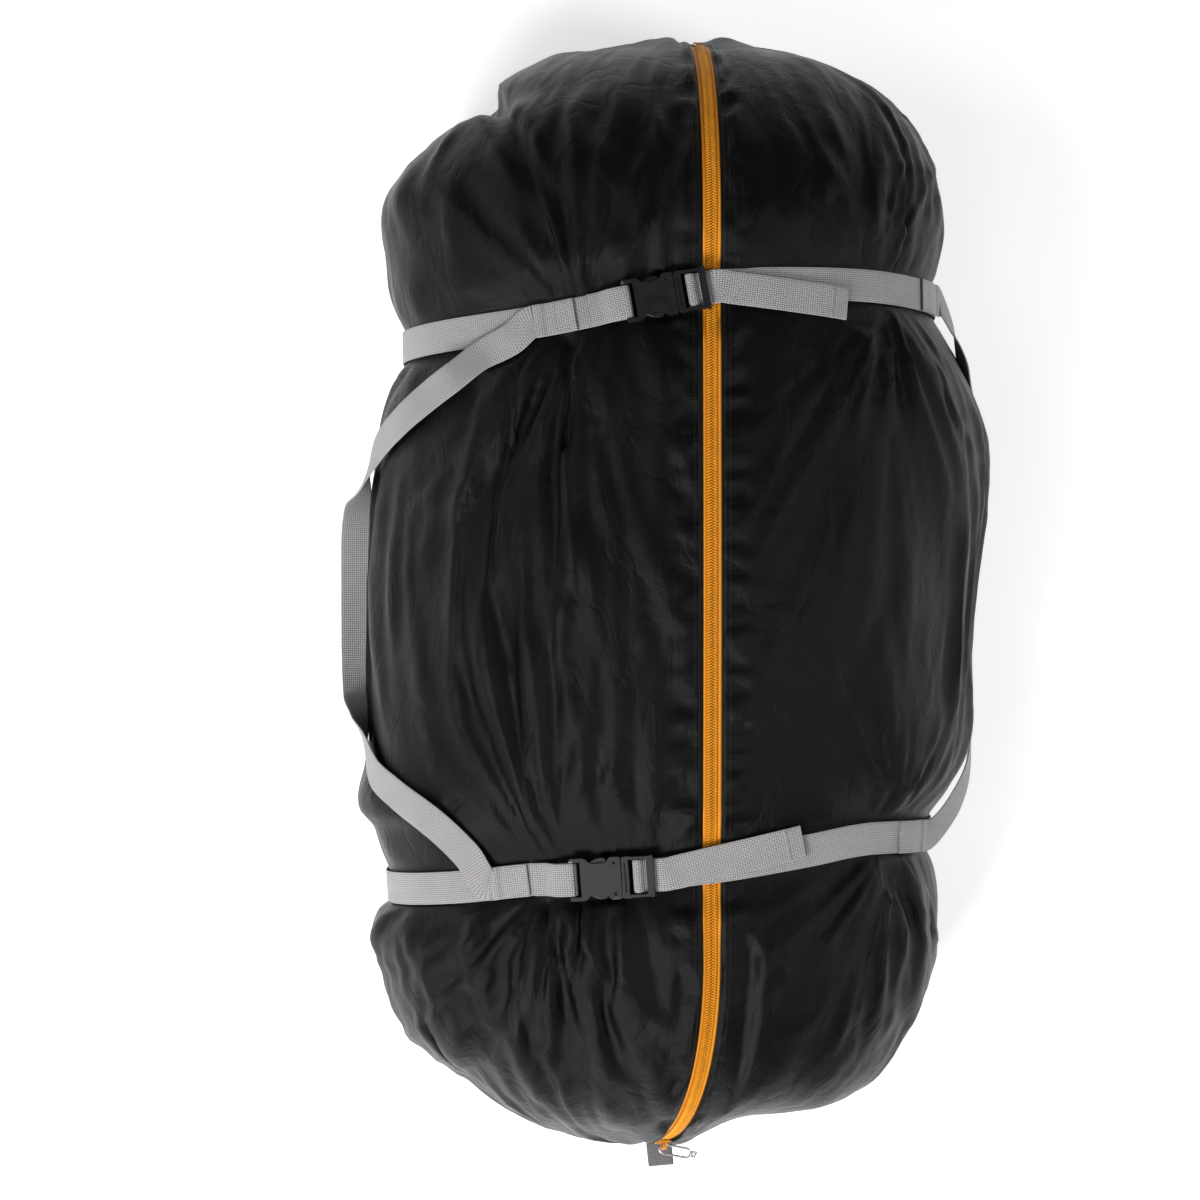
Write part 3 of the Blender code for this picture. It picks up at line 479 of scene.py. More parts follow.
def cloth_settings(cloth):
    sim = cloth.modifiers.new("cloth", "CLOTH")
    settings = sim.settings
    settings.quality = 5
    settings.mass = 0.15
    settings.tension_stiffness = settings.compression_stiffness = 18
    settings.shear_stiffness = 6
    settings.bending_stiffness = 0.1
    settings.tension_damping = settings.compression_damping = settings.shear_damping = 3
    settings.bending_damping = 0.3
    settings.air_damping = 2
    settings.vertex_group_mass = "pins"
    settings.pin_stiffness = 1
    settings.shrink_min = -SLACK
    settings.use_pressure = True
    settings.uniform_pressure_force = 0.6
    sim.collision_settings.collision_quality = 3
    sim.collision_settings.distance_min = 0.002
    sim.collision_settings.use_self_collision = False
    sim.point_cache.frame_end = SIM_FRAMES


CLOTH_ROWS = cloth_rows()
SETTLED = simulate_bag(CLOTH_ROWS)


# ---------------------------------------------------------------- making pieces

def mesh_object(name, points, faces, finish, uvs=None):
    """A smooth mesh piece, with an optional surface coordinate at each point."""
    mesh = bpy.data.meshes.new(name)
    mesh.from_pydata(np.asarray(points, float).tolist(), [], faces)
    if uvs is not None:
        corners = np.zeros(len(mesh.loops), np.int32)
        mesh.loops.foreach_get("vertex_index", corners)
        layer = mesh.uv_layers.new(name="surface")
        layer.data.foreach_set("uv", np.asarray(uvs, np.float32)[corners].reshape(-1))
    mesh.shade_smooth()
    mesh.materials.append(finish)
    return linked(name, mesh)


def placed(obj, body, material_slot, *nodes):
    """Says which body a piece rides on, and the CAD nodes that it stands for."""
    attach(obj, body)
    if nodes:
        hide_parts(*nodes)
    return obj


def skin(name, sections, finish, uvs=None, ring=False):
    """Skins closed sections[row][corner] and caps both ends, or joins them into a ring."""
    sections = np.asarray(sections, float)
    rows, count = sections.shape[:2]
    index = np.arange(rows * count).reshape(rows, count)
    if ring:
        index = np.vstack([index, index[:1]])
    after = np.roll(index, -1, axis=1)
    faces = np.stack([index[:-1], after[:-1], after[1:], index[1:]], -1).reshape(-1, 4).tolist()
    if not ring:
        faces += [index[0, ::-1].tolist(), index[-1].tolist()]
    return mesh_object(name, sections.reshape(-1, 3), faces, finish, uvs)


def round_section(radius, sides=10):
    a = np.linspace(0, 2 * math.pi, sides, endpoint=False)
    return np.stack([radius * np.cos(a), radius * np.sin(a)], 1)


def swept(name, profile, centres, across, up, finish, uvs=None, ring=False):
    """Sweeps closed (across, up) profiles along a line of frames."""
    profile = np.broadcast_to(profile, (len(centres), *np.shape(profile)[-2:]))
    sections = (centres[:, None] + across[:, None] * profile[..., :1] + up[:, None] * profile[..., 1:])
    return skin(name, sections, finish, uvs, ring)


def bead(length, width, height, rings=3, sides=6):
    """Points and faces of a small grain, longest along its X."""
    points, faces = [(-length / 2, 0, 0)], []
    for a in np.linspace(-1, 1, rings + 2)[1:-1] * math.pi / 2:
        for b in np.linspace(0, 2 * math.pi, sides, endpoint=False):
            fat = math.cos(a) ** 0.5
            points.append((length / 2 * math.sin(a), width / 2 * fat * math.cos(b),
                           height / 2 * fat * math.sin(b)))
    points.append((length / 2, 0, 0))
    last = len(points) - 1
    for k in range(sides):
        after = (k + 1) % sides
        faces.append([0, 1 + after, 1 + k])
        for ring in range(rings - 1):
            low, high = 1 + ring * sides, 1 + (ring + 1) * sides
            faces.append([low + k, low + after, high + after, high + k])
        faces.append([last, last - sides + k, last - sides + after])
    return np.array(points), faces


def repeated(name, shape, frames, finish):
    """One mesh of copies of a small shape, each in a frame of (origin, x, y, z)."""
    points, faces = shape
    frames = np.asarray(frames, float)
    copies = frames[:, None, 0] + np.einsum("pk,nkj->npj", points, frames[:, 1:])
    every = []
    for n in range(len(frames)):
        start = n * len(points)
        every += [[start + i for i in face] for face in faces]
    return mesh_object(name, copies.reshape(-1, 3), every, finish)


def resampled(centres, normals, spacing):
    """Evenly spaced points on a smooth curve through the centres, and their normals."""
    centres, normals = np.asarray(centres, float), np.asarray(normals, float)
    run = run_lengths(centres)
    at = np.linspace(0, run[-1], max(4, round(run[-1] / spacing) + 1))
    both = np.concatenate([centres, unit(normals)], 1)
    values = np.stack([through(list(zip(run, both[:, k])))(at) for k in range(6)], 1)
    return values[:, :3], unit(values[:, 3:])


def line_frames(centres, normals):
    """Directions along and across a line of webbing, and out of its face."""
    along = unit(np.gradient(centres, axis=0))
    across = unit(np.cross(along, normals))
    return along, across, np.cross(across, along)


SCALLOP = 0.9 * MM  # webbing rows are this far apart, and every other one is a little narrower


def webbing_section(row, swell=1.0):
    """The outline of a strip of webbing, with soft selvages that step in at every other row."""
    half = WEB_WIDTH / 2 - (0.22 * MM if row % 2 else 0)
    thick = WEB / 2 * swell
    flat = np.linspace(-half + 0.7 * MM, half - 0.7 * MM, 9)
    top = [(a, thick) for a in flat]
    right = [(half - 0.15 * MM, thick * 0.7), (half, 0), (half - 0.15 * MM, -thick * 0.7)]
    return np.array(top + right + [(a, -thick) for a in flat[::-1]]
                    + [(-a, b) for a, b in right[::-1]])


def webbing(name, centres, normals, first_row=0, swells=None):
    """A piece of webbing along a line that is already evenly spaced."""
    _, across, up = line_frames(centres, normals)
    rows = range(first_row, first_row + len(centres))
    swells = np.ones(len(centres)) if swells is None else swells
    profile = np.array([webbing_section(row, swell) for row, swell in zip(rows, swells)])
    uvs = np.zeros((*profile.shape[:2], 2))
    uvs[..., 0] = (np.array(rows) * SCALLOP)[:, None]
    uvs[..., 1] = profile[..., 0]
    return swept(name, profile, centres, across, up, WEBBING, uvs.reshape(-1, 2))


def row_of_stitches(centres, across, normals, lift, offsets, pitch):
    """Frames for stitches along a line at distances to its side, this far above it."""
    run = run_lengths(centres)
    at = np.arange(pitch / 2, run[-1], pitch)
    along = unit(np.gradient(centres, axis=0))
    parts = [np.stack([np.interp(at, run, part[:, k]) for k in range(3)], 1)
             for part in (centres, along, across, normals)]
    frames = []
    for offset in offsets:
        origin = parts[0] + parts[2] * offset + parts[3] * lift
        frames.append(np.stack([origin, parts[1], parts[2], parts[3]], 1))
    return np.concatenate(frames)


def row_across(centre, along, across, normal, half, lift, pitch):
    """Frames for a row of stitches straight across a piece of webbing."""
    line = centre + across * np.linspace(-half, half, 30)[:, None]
    return row_of_stitches(line, np.tile(along, (30, 1)), np.tile(normal, (30, 1)), lift, (0.0,), pitch)


def strip_uvs(centres, profile):
    """Surface coordinates of a swept strip: distance along it, and across its profile."""
    run = run_lengths(centres)
    return np.stack(np.broadcast_arrays(run[:, None], profile[None, :, 0]), -1).reshape(-1, 2)


# ---------------------------------------------------------------- materials

class Shader:
    """A material being made, with short ways to add nodes to it."""

    def __init__(self, name, colour, roughness, **constants):
        self.material = bpy.data.materials.new(name)
        self.material.use_nodes = True
        self.tree = self.material.node_tree
        self.main = self.tree.nodes["Principled BSDF"]
        self.main.inputs["Base Color"].default_value = (*colour, 1)
        self.main.inputs["Roughness"].default_value = roughness
        for name, value in constants.items():
            self.main.inputs[name.replace("_", " ")].default_value = value

    def node(self, kind, inputs, output=0, **settings):
        """Adds a node. inputs maps its sockets to other nodes' outputs or to plain values."""
        node = self.tree.nodes.new("ShaderNode" + kind)
        for key, value in settings.items():
            setattr(node, key, value)
        for socket, value in inputs.items():
            self.feed(node.inputs[socket], value)
        return node.outputs[output]

    def feed(self, socket, value):
        if isinstance(value, bpy.types.NodeSocket):
            self.tree.links.new(value, socket)
        else:
            socket.default_value = value

    def math(self, operation, *values):
        return self.node("Math", dict(enumerate(values)), operation=operation)

    def coordinates(self, kind, scale=(1, 1, 1)):
        source = self.node("TexCoord", {}, output=kind)
        return self.node("Mapping", {"Vector": source, "Scale": scale})

    def noise(self, vector, scale, detail=3.0, roughness=0.5, distortion=0.0):
        return self.node("TexNoise", {"Vector": vector, "Scale": scale, "Detail": detail,
                                      "Roughness": roughness, "Distortion": distortion})

    def span(self, value, low, high, out_low=0.0, out_high=1.0):
        """Maps low..high to out_low..out_high, held at the ends."""
        return self.node("MapRange", {"Value": value, "From Min": low, "From Max": high,
                                      "To Min": out_low, "To Max": out_high})

    def mix(self, factor, first, second):
        node = self.tree.nodes.new("ShaderNodeMix")
        node.data_type = "RGBA"
        self.feed(node.inputs[0], factor)
        for socket, value in ((node.inputs[6], first), (node.inputs[7], second)):
            self.feed(socket, value if isinstance(value, bpy.types.NodeSocket) else (*value, 1))
        return node.outputs[2]

    def mottled(self, place, scale, detail, first, second):
        """Soft patches of two colours."""
        return self.mix(self.span(self.noise(place, scale, detail), 0.3, 0.7), first, second)

    def surface_coordinates(self):
        """The two surface coordinates of a piece, in metres."""
        node = self.tree.nodes.new("ShaderNodeSeparateXYZ")
        self.feed(node.inputs[0], self.node("TexCoord", {}, output="UV"))
        return node.outputs[0], node.outputs[1]

    def bump(self, height, distance, below=None, strength=1.0):
        inputs = {"Height": height, "Distance": distance, "Strength": strength}
        if below is not None:
            inputs["Normal"] = below
        return self.node("Bump", inputs)

    def wave(self, distance, pitch):
        """A wave from -1 to 1 that repeats at this pitch."""
        return self.math("SINE", self.math("MULTIPLY", distance, 2 * math.pi / pitch))

    def weave(self, across, along, pitch_across, pitch_along):
        """Height of a plain weave, from two coordinates in metres, and how far threads stand up."""
        warp, weft = self.wave(across, 2 * pitch_across), self.wave(along, 2 * pitch_along)
        lift = self.math("MULTIPLY", warp, weft)
        ridge = self.math("MINIMUM", self.math("ABSOLUTE", warp), self.math("ABSOLUTE", weft))
        return self.math("ADD", self.math("MULTIPLY", lift, 0.35), ridge), ridge

    def finish(self, **links):
        for name, value in links.items():
            self.feed(self.main.inputs[name.replace("_", " ")], value)
        return self.material


def fabric_material():
    """Thin black taffeta: soft shine, fine weave, small creases, and puckers along the zip."""
    shader = Shader("black_taffeta", (0.003, 0.0028, 0.003), 0.32, Specular_IOR_Level=0.115)
    place = shader.coordinates("Object")
    across, along = shader.surface_coordinates()
    colour = shader.mottled(place, 9.0, 4.0, (0.0018, 0.0017, 0.0020), (0.0036, 0.0034, 0.0038))
    crumple = shader.noise(shader.coordinates("Object", (1.0, 0.55, 1.0)), 42.0, 3.0, 0.5, 0.6)
    crease = shader.math("ABSOLUTE", shader.math("SUBTRACT", crumple, 0.5))
    sharp = shader.span(crease, 0.0, 0.12)
    fine = shader.noise(place, 150.0, 3.0, 0.6)
    beside = shader.math("ABSOLUTE", across)
    near_zip = shader.math("MULTIPLY", shader.span(beside, 0.0085, 0.0115),
                           shader.span(beside, 0.012, 0.026, 1.0, 0.0))
    pucker = shader.noise(shader.coordinates("UV", (14, 95, 1)), 1.0, 2.0, 0.5)
    warp = shader.wave(across, 0.45 * MM)
    weft = shader.wave(along, 0.45 * MM)
    normal = shader.bump(sharp, 1.0 * MM, strength=0.3)
    normal = shader.bump(fine, 0.25 * MM, normal, 0.5)
    normal = shader.bump(shader.math("MULTIPLY", pucker, near_zip), 1.8 * MM, normal)
    normal = shader.bump(shader.math("MULTIPLY", warp, weft), 0.05 * MM, normal, 0.6)
    rough = shader.span(shader.noise(place, 25.0, 3.0), 0.3, 0.7, 0.30, 0.40)
    return shader.finish(Base_Color=colour, Roughness=rough, Normal=normal)


def webbing_material(name="grey_webbing", light=(0.43, 0.415, 0.425), dark=(0.10, 0.096, 0.099)):
    """Plain-woven polyester webbing, with darker gaps between its threads."""
    shader = Shader(name, light, 0.72, Sheen_Weight=0.25, Sheen_Roughness=0.5,
                    Specular_IOR_Level=0.35)
    along, across = shader.surface_coordinates()
    height, ridge = shader.weave(across, along, 1.6 * MM, 1.8 * MM)
    place = shader.coordinates("Object")
    thread = shader.mottled(place, 30.0, 3.0, tuple(0.90 * c for c in light), light)
    colour = shader.mix(shader.span(ridge, 0.02, 0.5), dark, thread)
    fuzz = shader.noise(place, 1800.0, 2.0)
    normal = shader.bump(height, 0.45 * MM)
    normal = shader.bump(fuzz, 0.08 * MM, normal, 0.6)
    return shader.finish(Base_Color=colour, Normal=normal)


def zip_tape_material():
    """Orange woven tape: a fine rib across, a little darker in the gaps, with painted shade on the strip
    under the coils.
    """
    shader = Shader("orange_zip_tape", (0.80, 0.29, 0.004), 0.6, Specular_IOR_Level=0.3)
    across, along = shader.surface_coordinates()
    rib = shader.wave(along, 0.9 * MM)
    column = shader.wave(across, 1.1 * MM)
    height = shader.math("ADD", rib, shader.math("MULTIPLY", column, 0.7))
    colour = shader.mix(shader.span(height, -1.2, 0.6), (0.45, 0.13, 0.002), (0.86, 0.345, 0.006))
    # Painted shade: the tape within about 4.5 mm of the middle, under the coils, is coloured darker.
    beside = shader.span(shader.math("ABSOLUTE", across), 4.1 * MM, 4.9 * MM)
    colour = shader.mix(beside, (0.46, 0.135, 0.002), colour)
    normal = shader.bump(height, 0.10 * MM, strength=0.7)
    return shader.finish(Base_Color=colour, Normal=normal)


def thread_material(name, colour, roughness=0.55):
    """Twisted sewing thread or nylon coil, with slight changes of tone."""
    shader = Shader(name, colour, roughness, Specular_IOR_Level=0.4)
    place = shader.coordinates("Object")
    colours = shader.mottled(place, 120.0, 2.0, tuple(0.82 * c for c in colour), colour)
    normal = shader.bump(shader.noise(place, 2500.0, 2.0), 0.05 * MM, strength=0.6)
    return shader.finish(Base_Color=colours, Normal=normal)


def plastic_material():
    """Moulded acetal with a fine spark-eroded texture and slightly worn, smoother patches."""
    shader = Shader("black_acetal", (0.006, 0.0065, 0.008), 0.35, Specular_IOR_Level=0.4)
    place = shader.coordinates("Object")
    grain = shader.noise(place, 1600.0, 3.0, 0.6)
    wear = shader.noise(place, 90.0, 3.0)
    rough = shader.span(wear, 0.35, 0.65, 0.28, 0.36)
    colour = shader.mix(shader.span(wear, 0.3, 0.7), (0.005, 0.0055, 0.007), (0.008, 0.0085, 0.010))
    normal = shader.bump(grain, 0.03 * MM, strength=0.5)
    return shader.finish(Base_Color=colour, Roughness=rough, Normal=normal)


def metal_material(name, colour, roughness, metallic=1.0, scratches=0.25):
    """Metal with fine drawn marks along it and small changes in its shine."""
    shader = Shader(name, colour, roughness, Metallic=metallic)
    place = shader.coordinates("Object")
    marks = shader.noise(shader.coordinates("Object", (1, 1, 9)), 260.0, 3.0, 0.7)
    cloudy = shader.noise(place, 140.0, 3.0)
    rough = shader.span(cloudy, 0.3, 0.7, roughness * 0.8, roughness * 1.35)
    colours = shader.mix(shader.span(cloudy, 0.3, 0.8), colour, tuple(0.8 * c for c in colour))
    normal = shader.bump(marks, 0.04 * MM, strength=scratches)
    return shader.finish(Base_Color=colours, Roughness=rough, Normal=normal)


def packed_cloth_material(name, first, second, pitch):
    """Matte woven cloth for what is packed inside."""
    shader = Shader(name, first, 0.85, Sheen_Weight=0.3)
    place = shader.coordinates("Object")
    height, _ = shader.weave(*shader.surface_coordinates(), pitch, pitch)
    colour = shader.mottled(place, 18.0, 4.0, first, second)
    normal = shader.bump(shader.noise(place, 45.0, 4.0), 2.0 * MM, strength=0.5)
    normal = shader.bump(height, 0.2 * MM, normal, 0.7)
    return shader.finish(Base_Color=colour, Normal=normal)


FABRIC = fabric_material()
WEBBING = webbing_material()
# Painted shade: the same grey webbing made darker for the end tab, which lies in shadow under the bag's
# overhang.
SHADED_TAB_WEBBING = webbing_material("shaded_tab_webbing", (0.17, 0.163, 0.168), (0.04, 0.039, 0.04))
TREE_WEBBING = webbing_material("black_webbing", (0.05, 0.05, 0.052), (0.015, 0.015, 0.016))
TAPE_CLOTH = zip_tape_material()
COIL_NYLON = thread_material("orange_coil", (0.92, 0.39, 0.007), 0.42)
BLACK_THREAD = thread_material("black_thread", (0.010, 0.010, 0.010))
GREY_THREAD = thread_material("grey_thread", (0.30, 0.29, 0.295))
DARK_THREAD = thread_material("dark_thread", (0.06, 0.06, 0.062))
PLASTIC = plastic_material()
ENAMEL = metal_material("orange_enamel", (0.80, 0.30, 0.02), 0.32, 0.0)
NICKEL = metal_material("nickel_wire", (0.66, 0.64, 0.60), 0.22)
ZINC = metal_material("zinc_wire", (0.55, 0.55, 0.56), 0.32)
BED_CLOTH = packed_cloth_material("bed_cloth", (0.16, 0.22, 0.14), (0.11, 0.16, 0.10), 0.7 * MM)
FLY_CLOTH = packed_cloth_material("fly_cloth", (0.20, 0.22, 0.24), (0.14, 0.16, 0.18), 0.6 * MM)


# ---------------------------------------------------------------- the lines of straps and handles

def strap_ring(at, side, x_top, count, lift=WEB_LIFT + WEB / 2):
    """A strap's centre line from x_top on the top, round one side, to the middle of the base."""
    start = angle_at(at, x_top)
    end = -math.pi / 2 if side > 0 else 1.5 * math.pi
    angles = angles_between(at, start, end, count, from_end=0.4 * MM)
    normals = bag_normal(angles, at)
    return bag_point(angles, at) + normals * lift, normals


def buckle_matrix(at, mouth_x):
    """The buckle's frame, lying on the strap's line with the mouth of its socket at mouth_x."""
    middle = angle_at(at, mouth_x - BUCKLE_MIDDLE)
    point, up = bag_point(middle, at), bag_normal(middle, at)
    step = bag_point(middle - 0.1, at) - bag_point(middle + 0.1, at)
    along = step - up * np.dot(step, up)
    along /= np.linalg.norm(along)
    across = np.cross(up, along)
    matrix = Matrix((along, across, up)).transposed().to_4x4()
    matrix.translation = point + up * BUCKLE_LIFT + along * BUCKLE_MIDDLE
    return matrix


def in_frame(matrix, line):
    """World points of a line given as (x, z) in a buckle's frame."""
    return np.array([matrix @ Vector((x, 0, z)) for x, z in line])


def turned(centres, matrix):
    """Normals for webbing that turns about the buckle's cross direction."""
    return unit(np.cross(np.gradient(centres, axis=0), np.array(matrix.col[1][:3])))


def left_strap_line(at, matrix):
    """From the base round the left side, under and round the socket's bar and back."""
    bar_x = -SOCKET_LENGTH + 1.8 * MM
    turn = [(bar_x + 3.3 * MM * math.cos(a), BAR_Z + 2.6 * MM * math.sin(a))
            for a in np.linspace(-math.pi / 2, math.pi / 2, 7)]
    approach = [(bar_x - 12 * MM, 1.3 * MM), (bar_x - 5 * MM, 1.7 * MM)]
    fold = [(bar_x - 6 * MM, BAR_Z + 2.2 * MM), (bar_x - 12 * MM, BAR_Z + 0.6 * MM)]
    near = in_frame(matrix, approach + turn + fold)
    ring, normals = strap_ring(at, -1, float(near[0][0]) - 0.016, 36)
    fold_x = np.linspace(float(near[-1][0]) - 0.007, float(near[-1][0]) - 0.015, 2)
    over = [bag_point(a, at) + bag_normal(a, at) * (WEB_LIFT + WEB * 1.5 + 1.0 * MM)
            for a in (angle_at(at, x) for x in fold_x)]
    centres = np.concatenate([ring[::-1], near, over])
    bent = turned(np.concatenate([ring[:1], near, over]), matrix)[1:]
    return centres, np.concatenate([normals[::-1], bent])


def right_strap_line(at, matrix):
    """From under the ladder lock round the right side to the base."""
    near = in_frame(matrix, [(14 * MM, 1.0 * MM), (22 * MM, 1.0 * MM), (27 * MM, 0.1 * MM),
                             (32 * MM, -1.1 * MM), (37 * MM, -1.4 * MM)])
    ring, normals = strap_ring(at, 1, float(near[-1][0]) + 0.012, 34)
    first = turned(np.concatenate([near, ring[:1]]), matrix)[:-1]
    return np.concatenate([near, ring]), np.concatenate([first, normals])


def loose_line(at, matrix, end):
    """Over the ladder lock's middle bar, under its outer bar, and on along the strap as its tail."""
    bar_x, bar_z = 11.95 * MM, 4.2 * MM
    turn = [(bar_x + 2.55 * MM * math.cos(a), bar_z + 2.75 * MM * math.sin(a))
            for a in np.linspace(-math.pi * 0.62, -math.pi * 1.5, 11)]
    under = [(13.8 * MM, 6.4 * MM), (15.6 * MM, 5.0 * MM), (17.6 * MM, 3.7 * MM), (20 * MM, 3.25 * MM),
             (25.4 * MM, 3.25 * MM), (32 * MM, 3.3 * MM)]
    centres = list(in_frame(matrix, turn + under))
    first_x, start_y = centres[-1][:2]
    normals = list(turned(np.array(centres), matrix))
    end_x, end_y = end
    for s in np.linspace(0, 1, 10)[1:]:
        x = first_x + (end_x - first_x) * s
        angle = angle_at(at, x)
        normal = bag_normal(angle, at)
        lift = WEB_LIFT + WEB * 1.5 + 1.6 * MM + 1.2 * MM * math.sin(math.pi * s)
        point = bag_point(angle, at) + normal * lift
        point[1] = start_y + (end_y - start_y) * s
        centres.append(point)
        normals.append(normal)
    return np.array(centres), np.array(normals)


def sewn_line(at, x_inner, x_outer):
    """Points and normals of a handle's end, which lies flat on top of a strap."""
    angles = angles_between(at, angle_at(at, x_inner), angle_at(at, x_outer), 5)
    normals = bag_normal(angles, at)
    return bag_point(angles, at) + normals * PATCH_LIFT, normals


def handle_line(head_end, foot_end, middle):
    """The whole handle's line, from its sewn end at the head to that at the foot, and its hinges."""
    line, hinges = [], []
    for at, ends in ((HEAD_STRAP_Y, head_end), (FOOT_STRAP_Y, foot_end)):
        centres, normals = sewn_line(at, *ends)
        onward = unit(centres[-1] - centres[-2])
        free = [centres[-1] + normals[-1] * GRIP_RISE + onward * reach
                for reach in (PATCH_GAP, PATCH_GAP + SET_OFF)]
        hinges.append(free[0])
        line.append((np.concatenate([centres, free]), np.concatenate([normals, normals[-1:], normals[-1:]])))
    points, facings = (np.array(part, float) for part in zip(*middle))
    centres = np.concatenate([line[0][0], points, line[1][0][::-1]])
    return centres, np.concatenate([line[0][1], unit(facings), line[1][1][::-1]]), hinges


def shoulder(points):
    """Points above the bag at each (x, y), facing across the bag."""
    pairs = [on_bag(x, y, SHOULDER_LIFT) for x, y in points]
    return [(point, normal * (1, 0.2, 1)) for point, normal in pairs]


def left_handle_line():
    head = shoulder([(-0.124, 0.1905), (-0.146, 0.1760), (-0.166, 0.1620), (-0.186, 0.1485),
                     (-0.207, 0.1315), (-0.2245, 0.1140)])
    foot = shoulder([(-0.2290, -0.1400), (-0.2110, -0.1550), (-0.182, -0.1755), (-0.158, -0.1960)])
    free = [((-0.2440, 0.0930, 0.158), (-1.0, 0.1, -0.15)), ((-0.2525, 0.0700, 0.133), (-0.5, 0.0, -0.85)),
            ((-0.2552, 0.0350, 0.118), (-0.15, 0.0, -1.0)), ((-0.2555, 0.0000, 0.113), (-0.1, 0.0, -1.0)),
            ((-0.2552, -0.0400, 0.115), (-0.15, 0.0, -1.0)), ((-0.2535, -0.0800, 0.124), (-0.3, 0.0, -0.95)),
            ((-0.2505, -0.1050, 0.143), (-0.8, 0.0, -0.6)), ((-0.2440, -0.1230, 0.166), (-1.0, 0.0, 0.0))]
    return handle_line((-0.0775, -0.1000), (-0.1125, -0.1330), head + free + foot)


def right_handle_line():
    free = [((0.2195, 0.2080, 0.1450), (1.0, -0.1, 0.1)),
            ((0.2290, 0.1780, 0.1400), (1.0, -0.1, -0.25)), ((0.2400, 0.1450, 0.1150), (1.0, 0.0, -0.2)),
            ((0.2455, 0.1100, 0.0930), (1.0, 0.0, 0.0)), ((0.2445, 0.0600, 0.0780), (1.0, 0.0, 0.0)),
            ((0.2425, 0.0000, 0.0720), (1.0, 0.0, 0.0)), ((0.2405, -0.0500, 0.0740), (1.0, 0.0, 0.0)),
            ((0.2400, -0.0900, 0.0860), (1.0, 0.0, 0.0)), ((0.2380, -0.1180, 0.1080), (1.0, 0.0, 0.1)),
            ((0.2330, -0.1400, 0.1350), (1.0, 0.0, 0.15)),
            ((0.2190, -0.1660, 0.1640), (0.9, 0.0, 0.3))]
    return handle_line((0.1843, 0.1985), (0.1660, 0.1835), free)


BUCKLES = {"head": (HEAD_STRAP_Y, buckle_matrix(HEAD_STRAP_Y, -0.0030), (0.1236, 0.2172)),
           "foot": (FOOT_STRAP_Y, buckle_matrix(FOOT_STRAP_Y, -0.0428), (0.0905, -0.1868))}
HANDLES = {"left": left_handle_line(), "right": right_handle_line()}


# ---------------------------------------------------------------- the bag's cloth

LIP = ((7.8, -1.6), (6.95, -1.0), (6.75, -0.1), (6.95, 0.75))  # (out, up) of the folded edge, mm

# Folds that run out in plan from where a strap gathers the cloth: x, y, whether they head to the
# bag's head (1) or foot (-1), middle and half width of the fan in degrees, reach, height and seed
FANS = [(-0.079, 0.200, -1, -14, 52, 0.20, 11.0 * MM, 1.0),
        (-0.079, 0.212, 1, -8, 62, 0.15, 12.0 * MM, 2.0),
        (-0.101, -0.212, 1, -8, 48, 0.17, 11.0 * MM, 3.0),
        (-0.101, -0.222, -1, -12, 68, 0.17, 13.0 * MM, 4.0),
        (0.160, 0.226, -1, -4, 52, 0.20, 11.0 * MM, 5.0),
        (0.150, 0.232, 1, -12, 52, 0.14, 12.0 * MM, 6.0),
        (0.165, -0.180, 1, -6, 50, 0.19, 11.0 * MM, 7.0),
        (0.160, -0.192, -1, -14, 55, 0.14, 11.0 * MM, 8.0)]
FAN_RIDGES = 5.5  # ridges for each radian of a fan
# Deep creases, as lines in plan with a depth and a half width
CREASES = [([(-0.148, 0.395), (-0.118, 0.330), (-0.092, 0.262)], 11 * MM, 9 * MM),
           ([(-0.085, 0.190), (-0.140, 0.085), (-0.150, 0.015), (-0.128, -0.050)], 7 * MM, 9 * MM),
           ([(-0.080, 0.185), (-0.098, 0.095), (-0.086, 0.000)], 5 * MM, 8 * MM),
           ([(-0.108, -0.235), (-0.165, -0.295), (-0.148, -0.345)], 8 * MM, 8 * MM),
           ([(-0.095, -0.235), (-0.085, -0.330), (-0.100, -0.395)], 6 * MM, 8 * MM),
           ([(0.155, 0.200), (0.158, 0.090), (0.160, 0.010), (0.125, -0.085)], 6 * MM, 9 * MM),
           ([(0.162, -0.215), (0.186, -0.262), (0.170, -0.320)], 6 * MM, 8 * MM)]
# Where the bag is fuller (or flatter) than its engineering shape: x, y, half widths, height
LOBES = [(-0.165, 0.387, 0.040, 0.013, -24 * MM), (-0.235, 0.310, 0.050, 0.030, 8 * MM),
         (-0.215, -0.345, 0.060, 0.032, 15 * MM), (-0.240, -0.165, 0.040, 0.025, 10 * MM),
         (0.245, -0.040, 0.060, 0.080, -9 * MM), (0.140, -0.385, 0.050, 0.030, 10 * MM),
         (-0.235, -0.265, 0.050, 0.020, 6 * MM), (0.060, -0.420, 0.040, 0.020, -7 * MM)]


FOLDS_FROM = 0.05  # height above the floor where the folds start


def held_in(points, rows):
    """Limits how far the cloth stands off the bag's surface."""
    for i, v in enumerate(rows):
        surface, normals = ring_points(v, 1.0, True)
        stand_off = np.sum((points[i + CAP_RINGS] - surface) * normals, axis=1, keepdims=True)
        points[i + CAP_RINGS] -= normals * np.maximum(stand_off - STAND_OFF, 0) * 0.7
    return points


# How often the rows are evened out between the straps and beyond them, leaving the zip's own columns
BETWEEN_PASSES = 10
BEYOND_PASSES = 3
ZIP_COLUMNS = 3
STAND_OFF = 5 * MM  # cloth further than this from the bag's surface is brought most of the way back


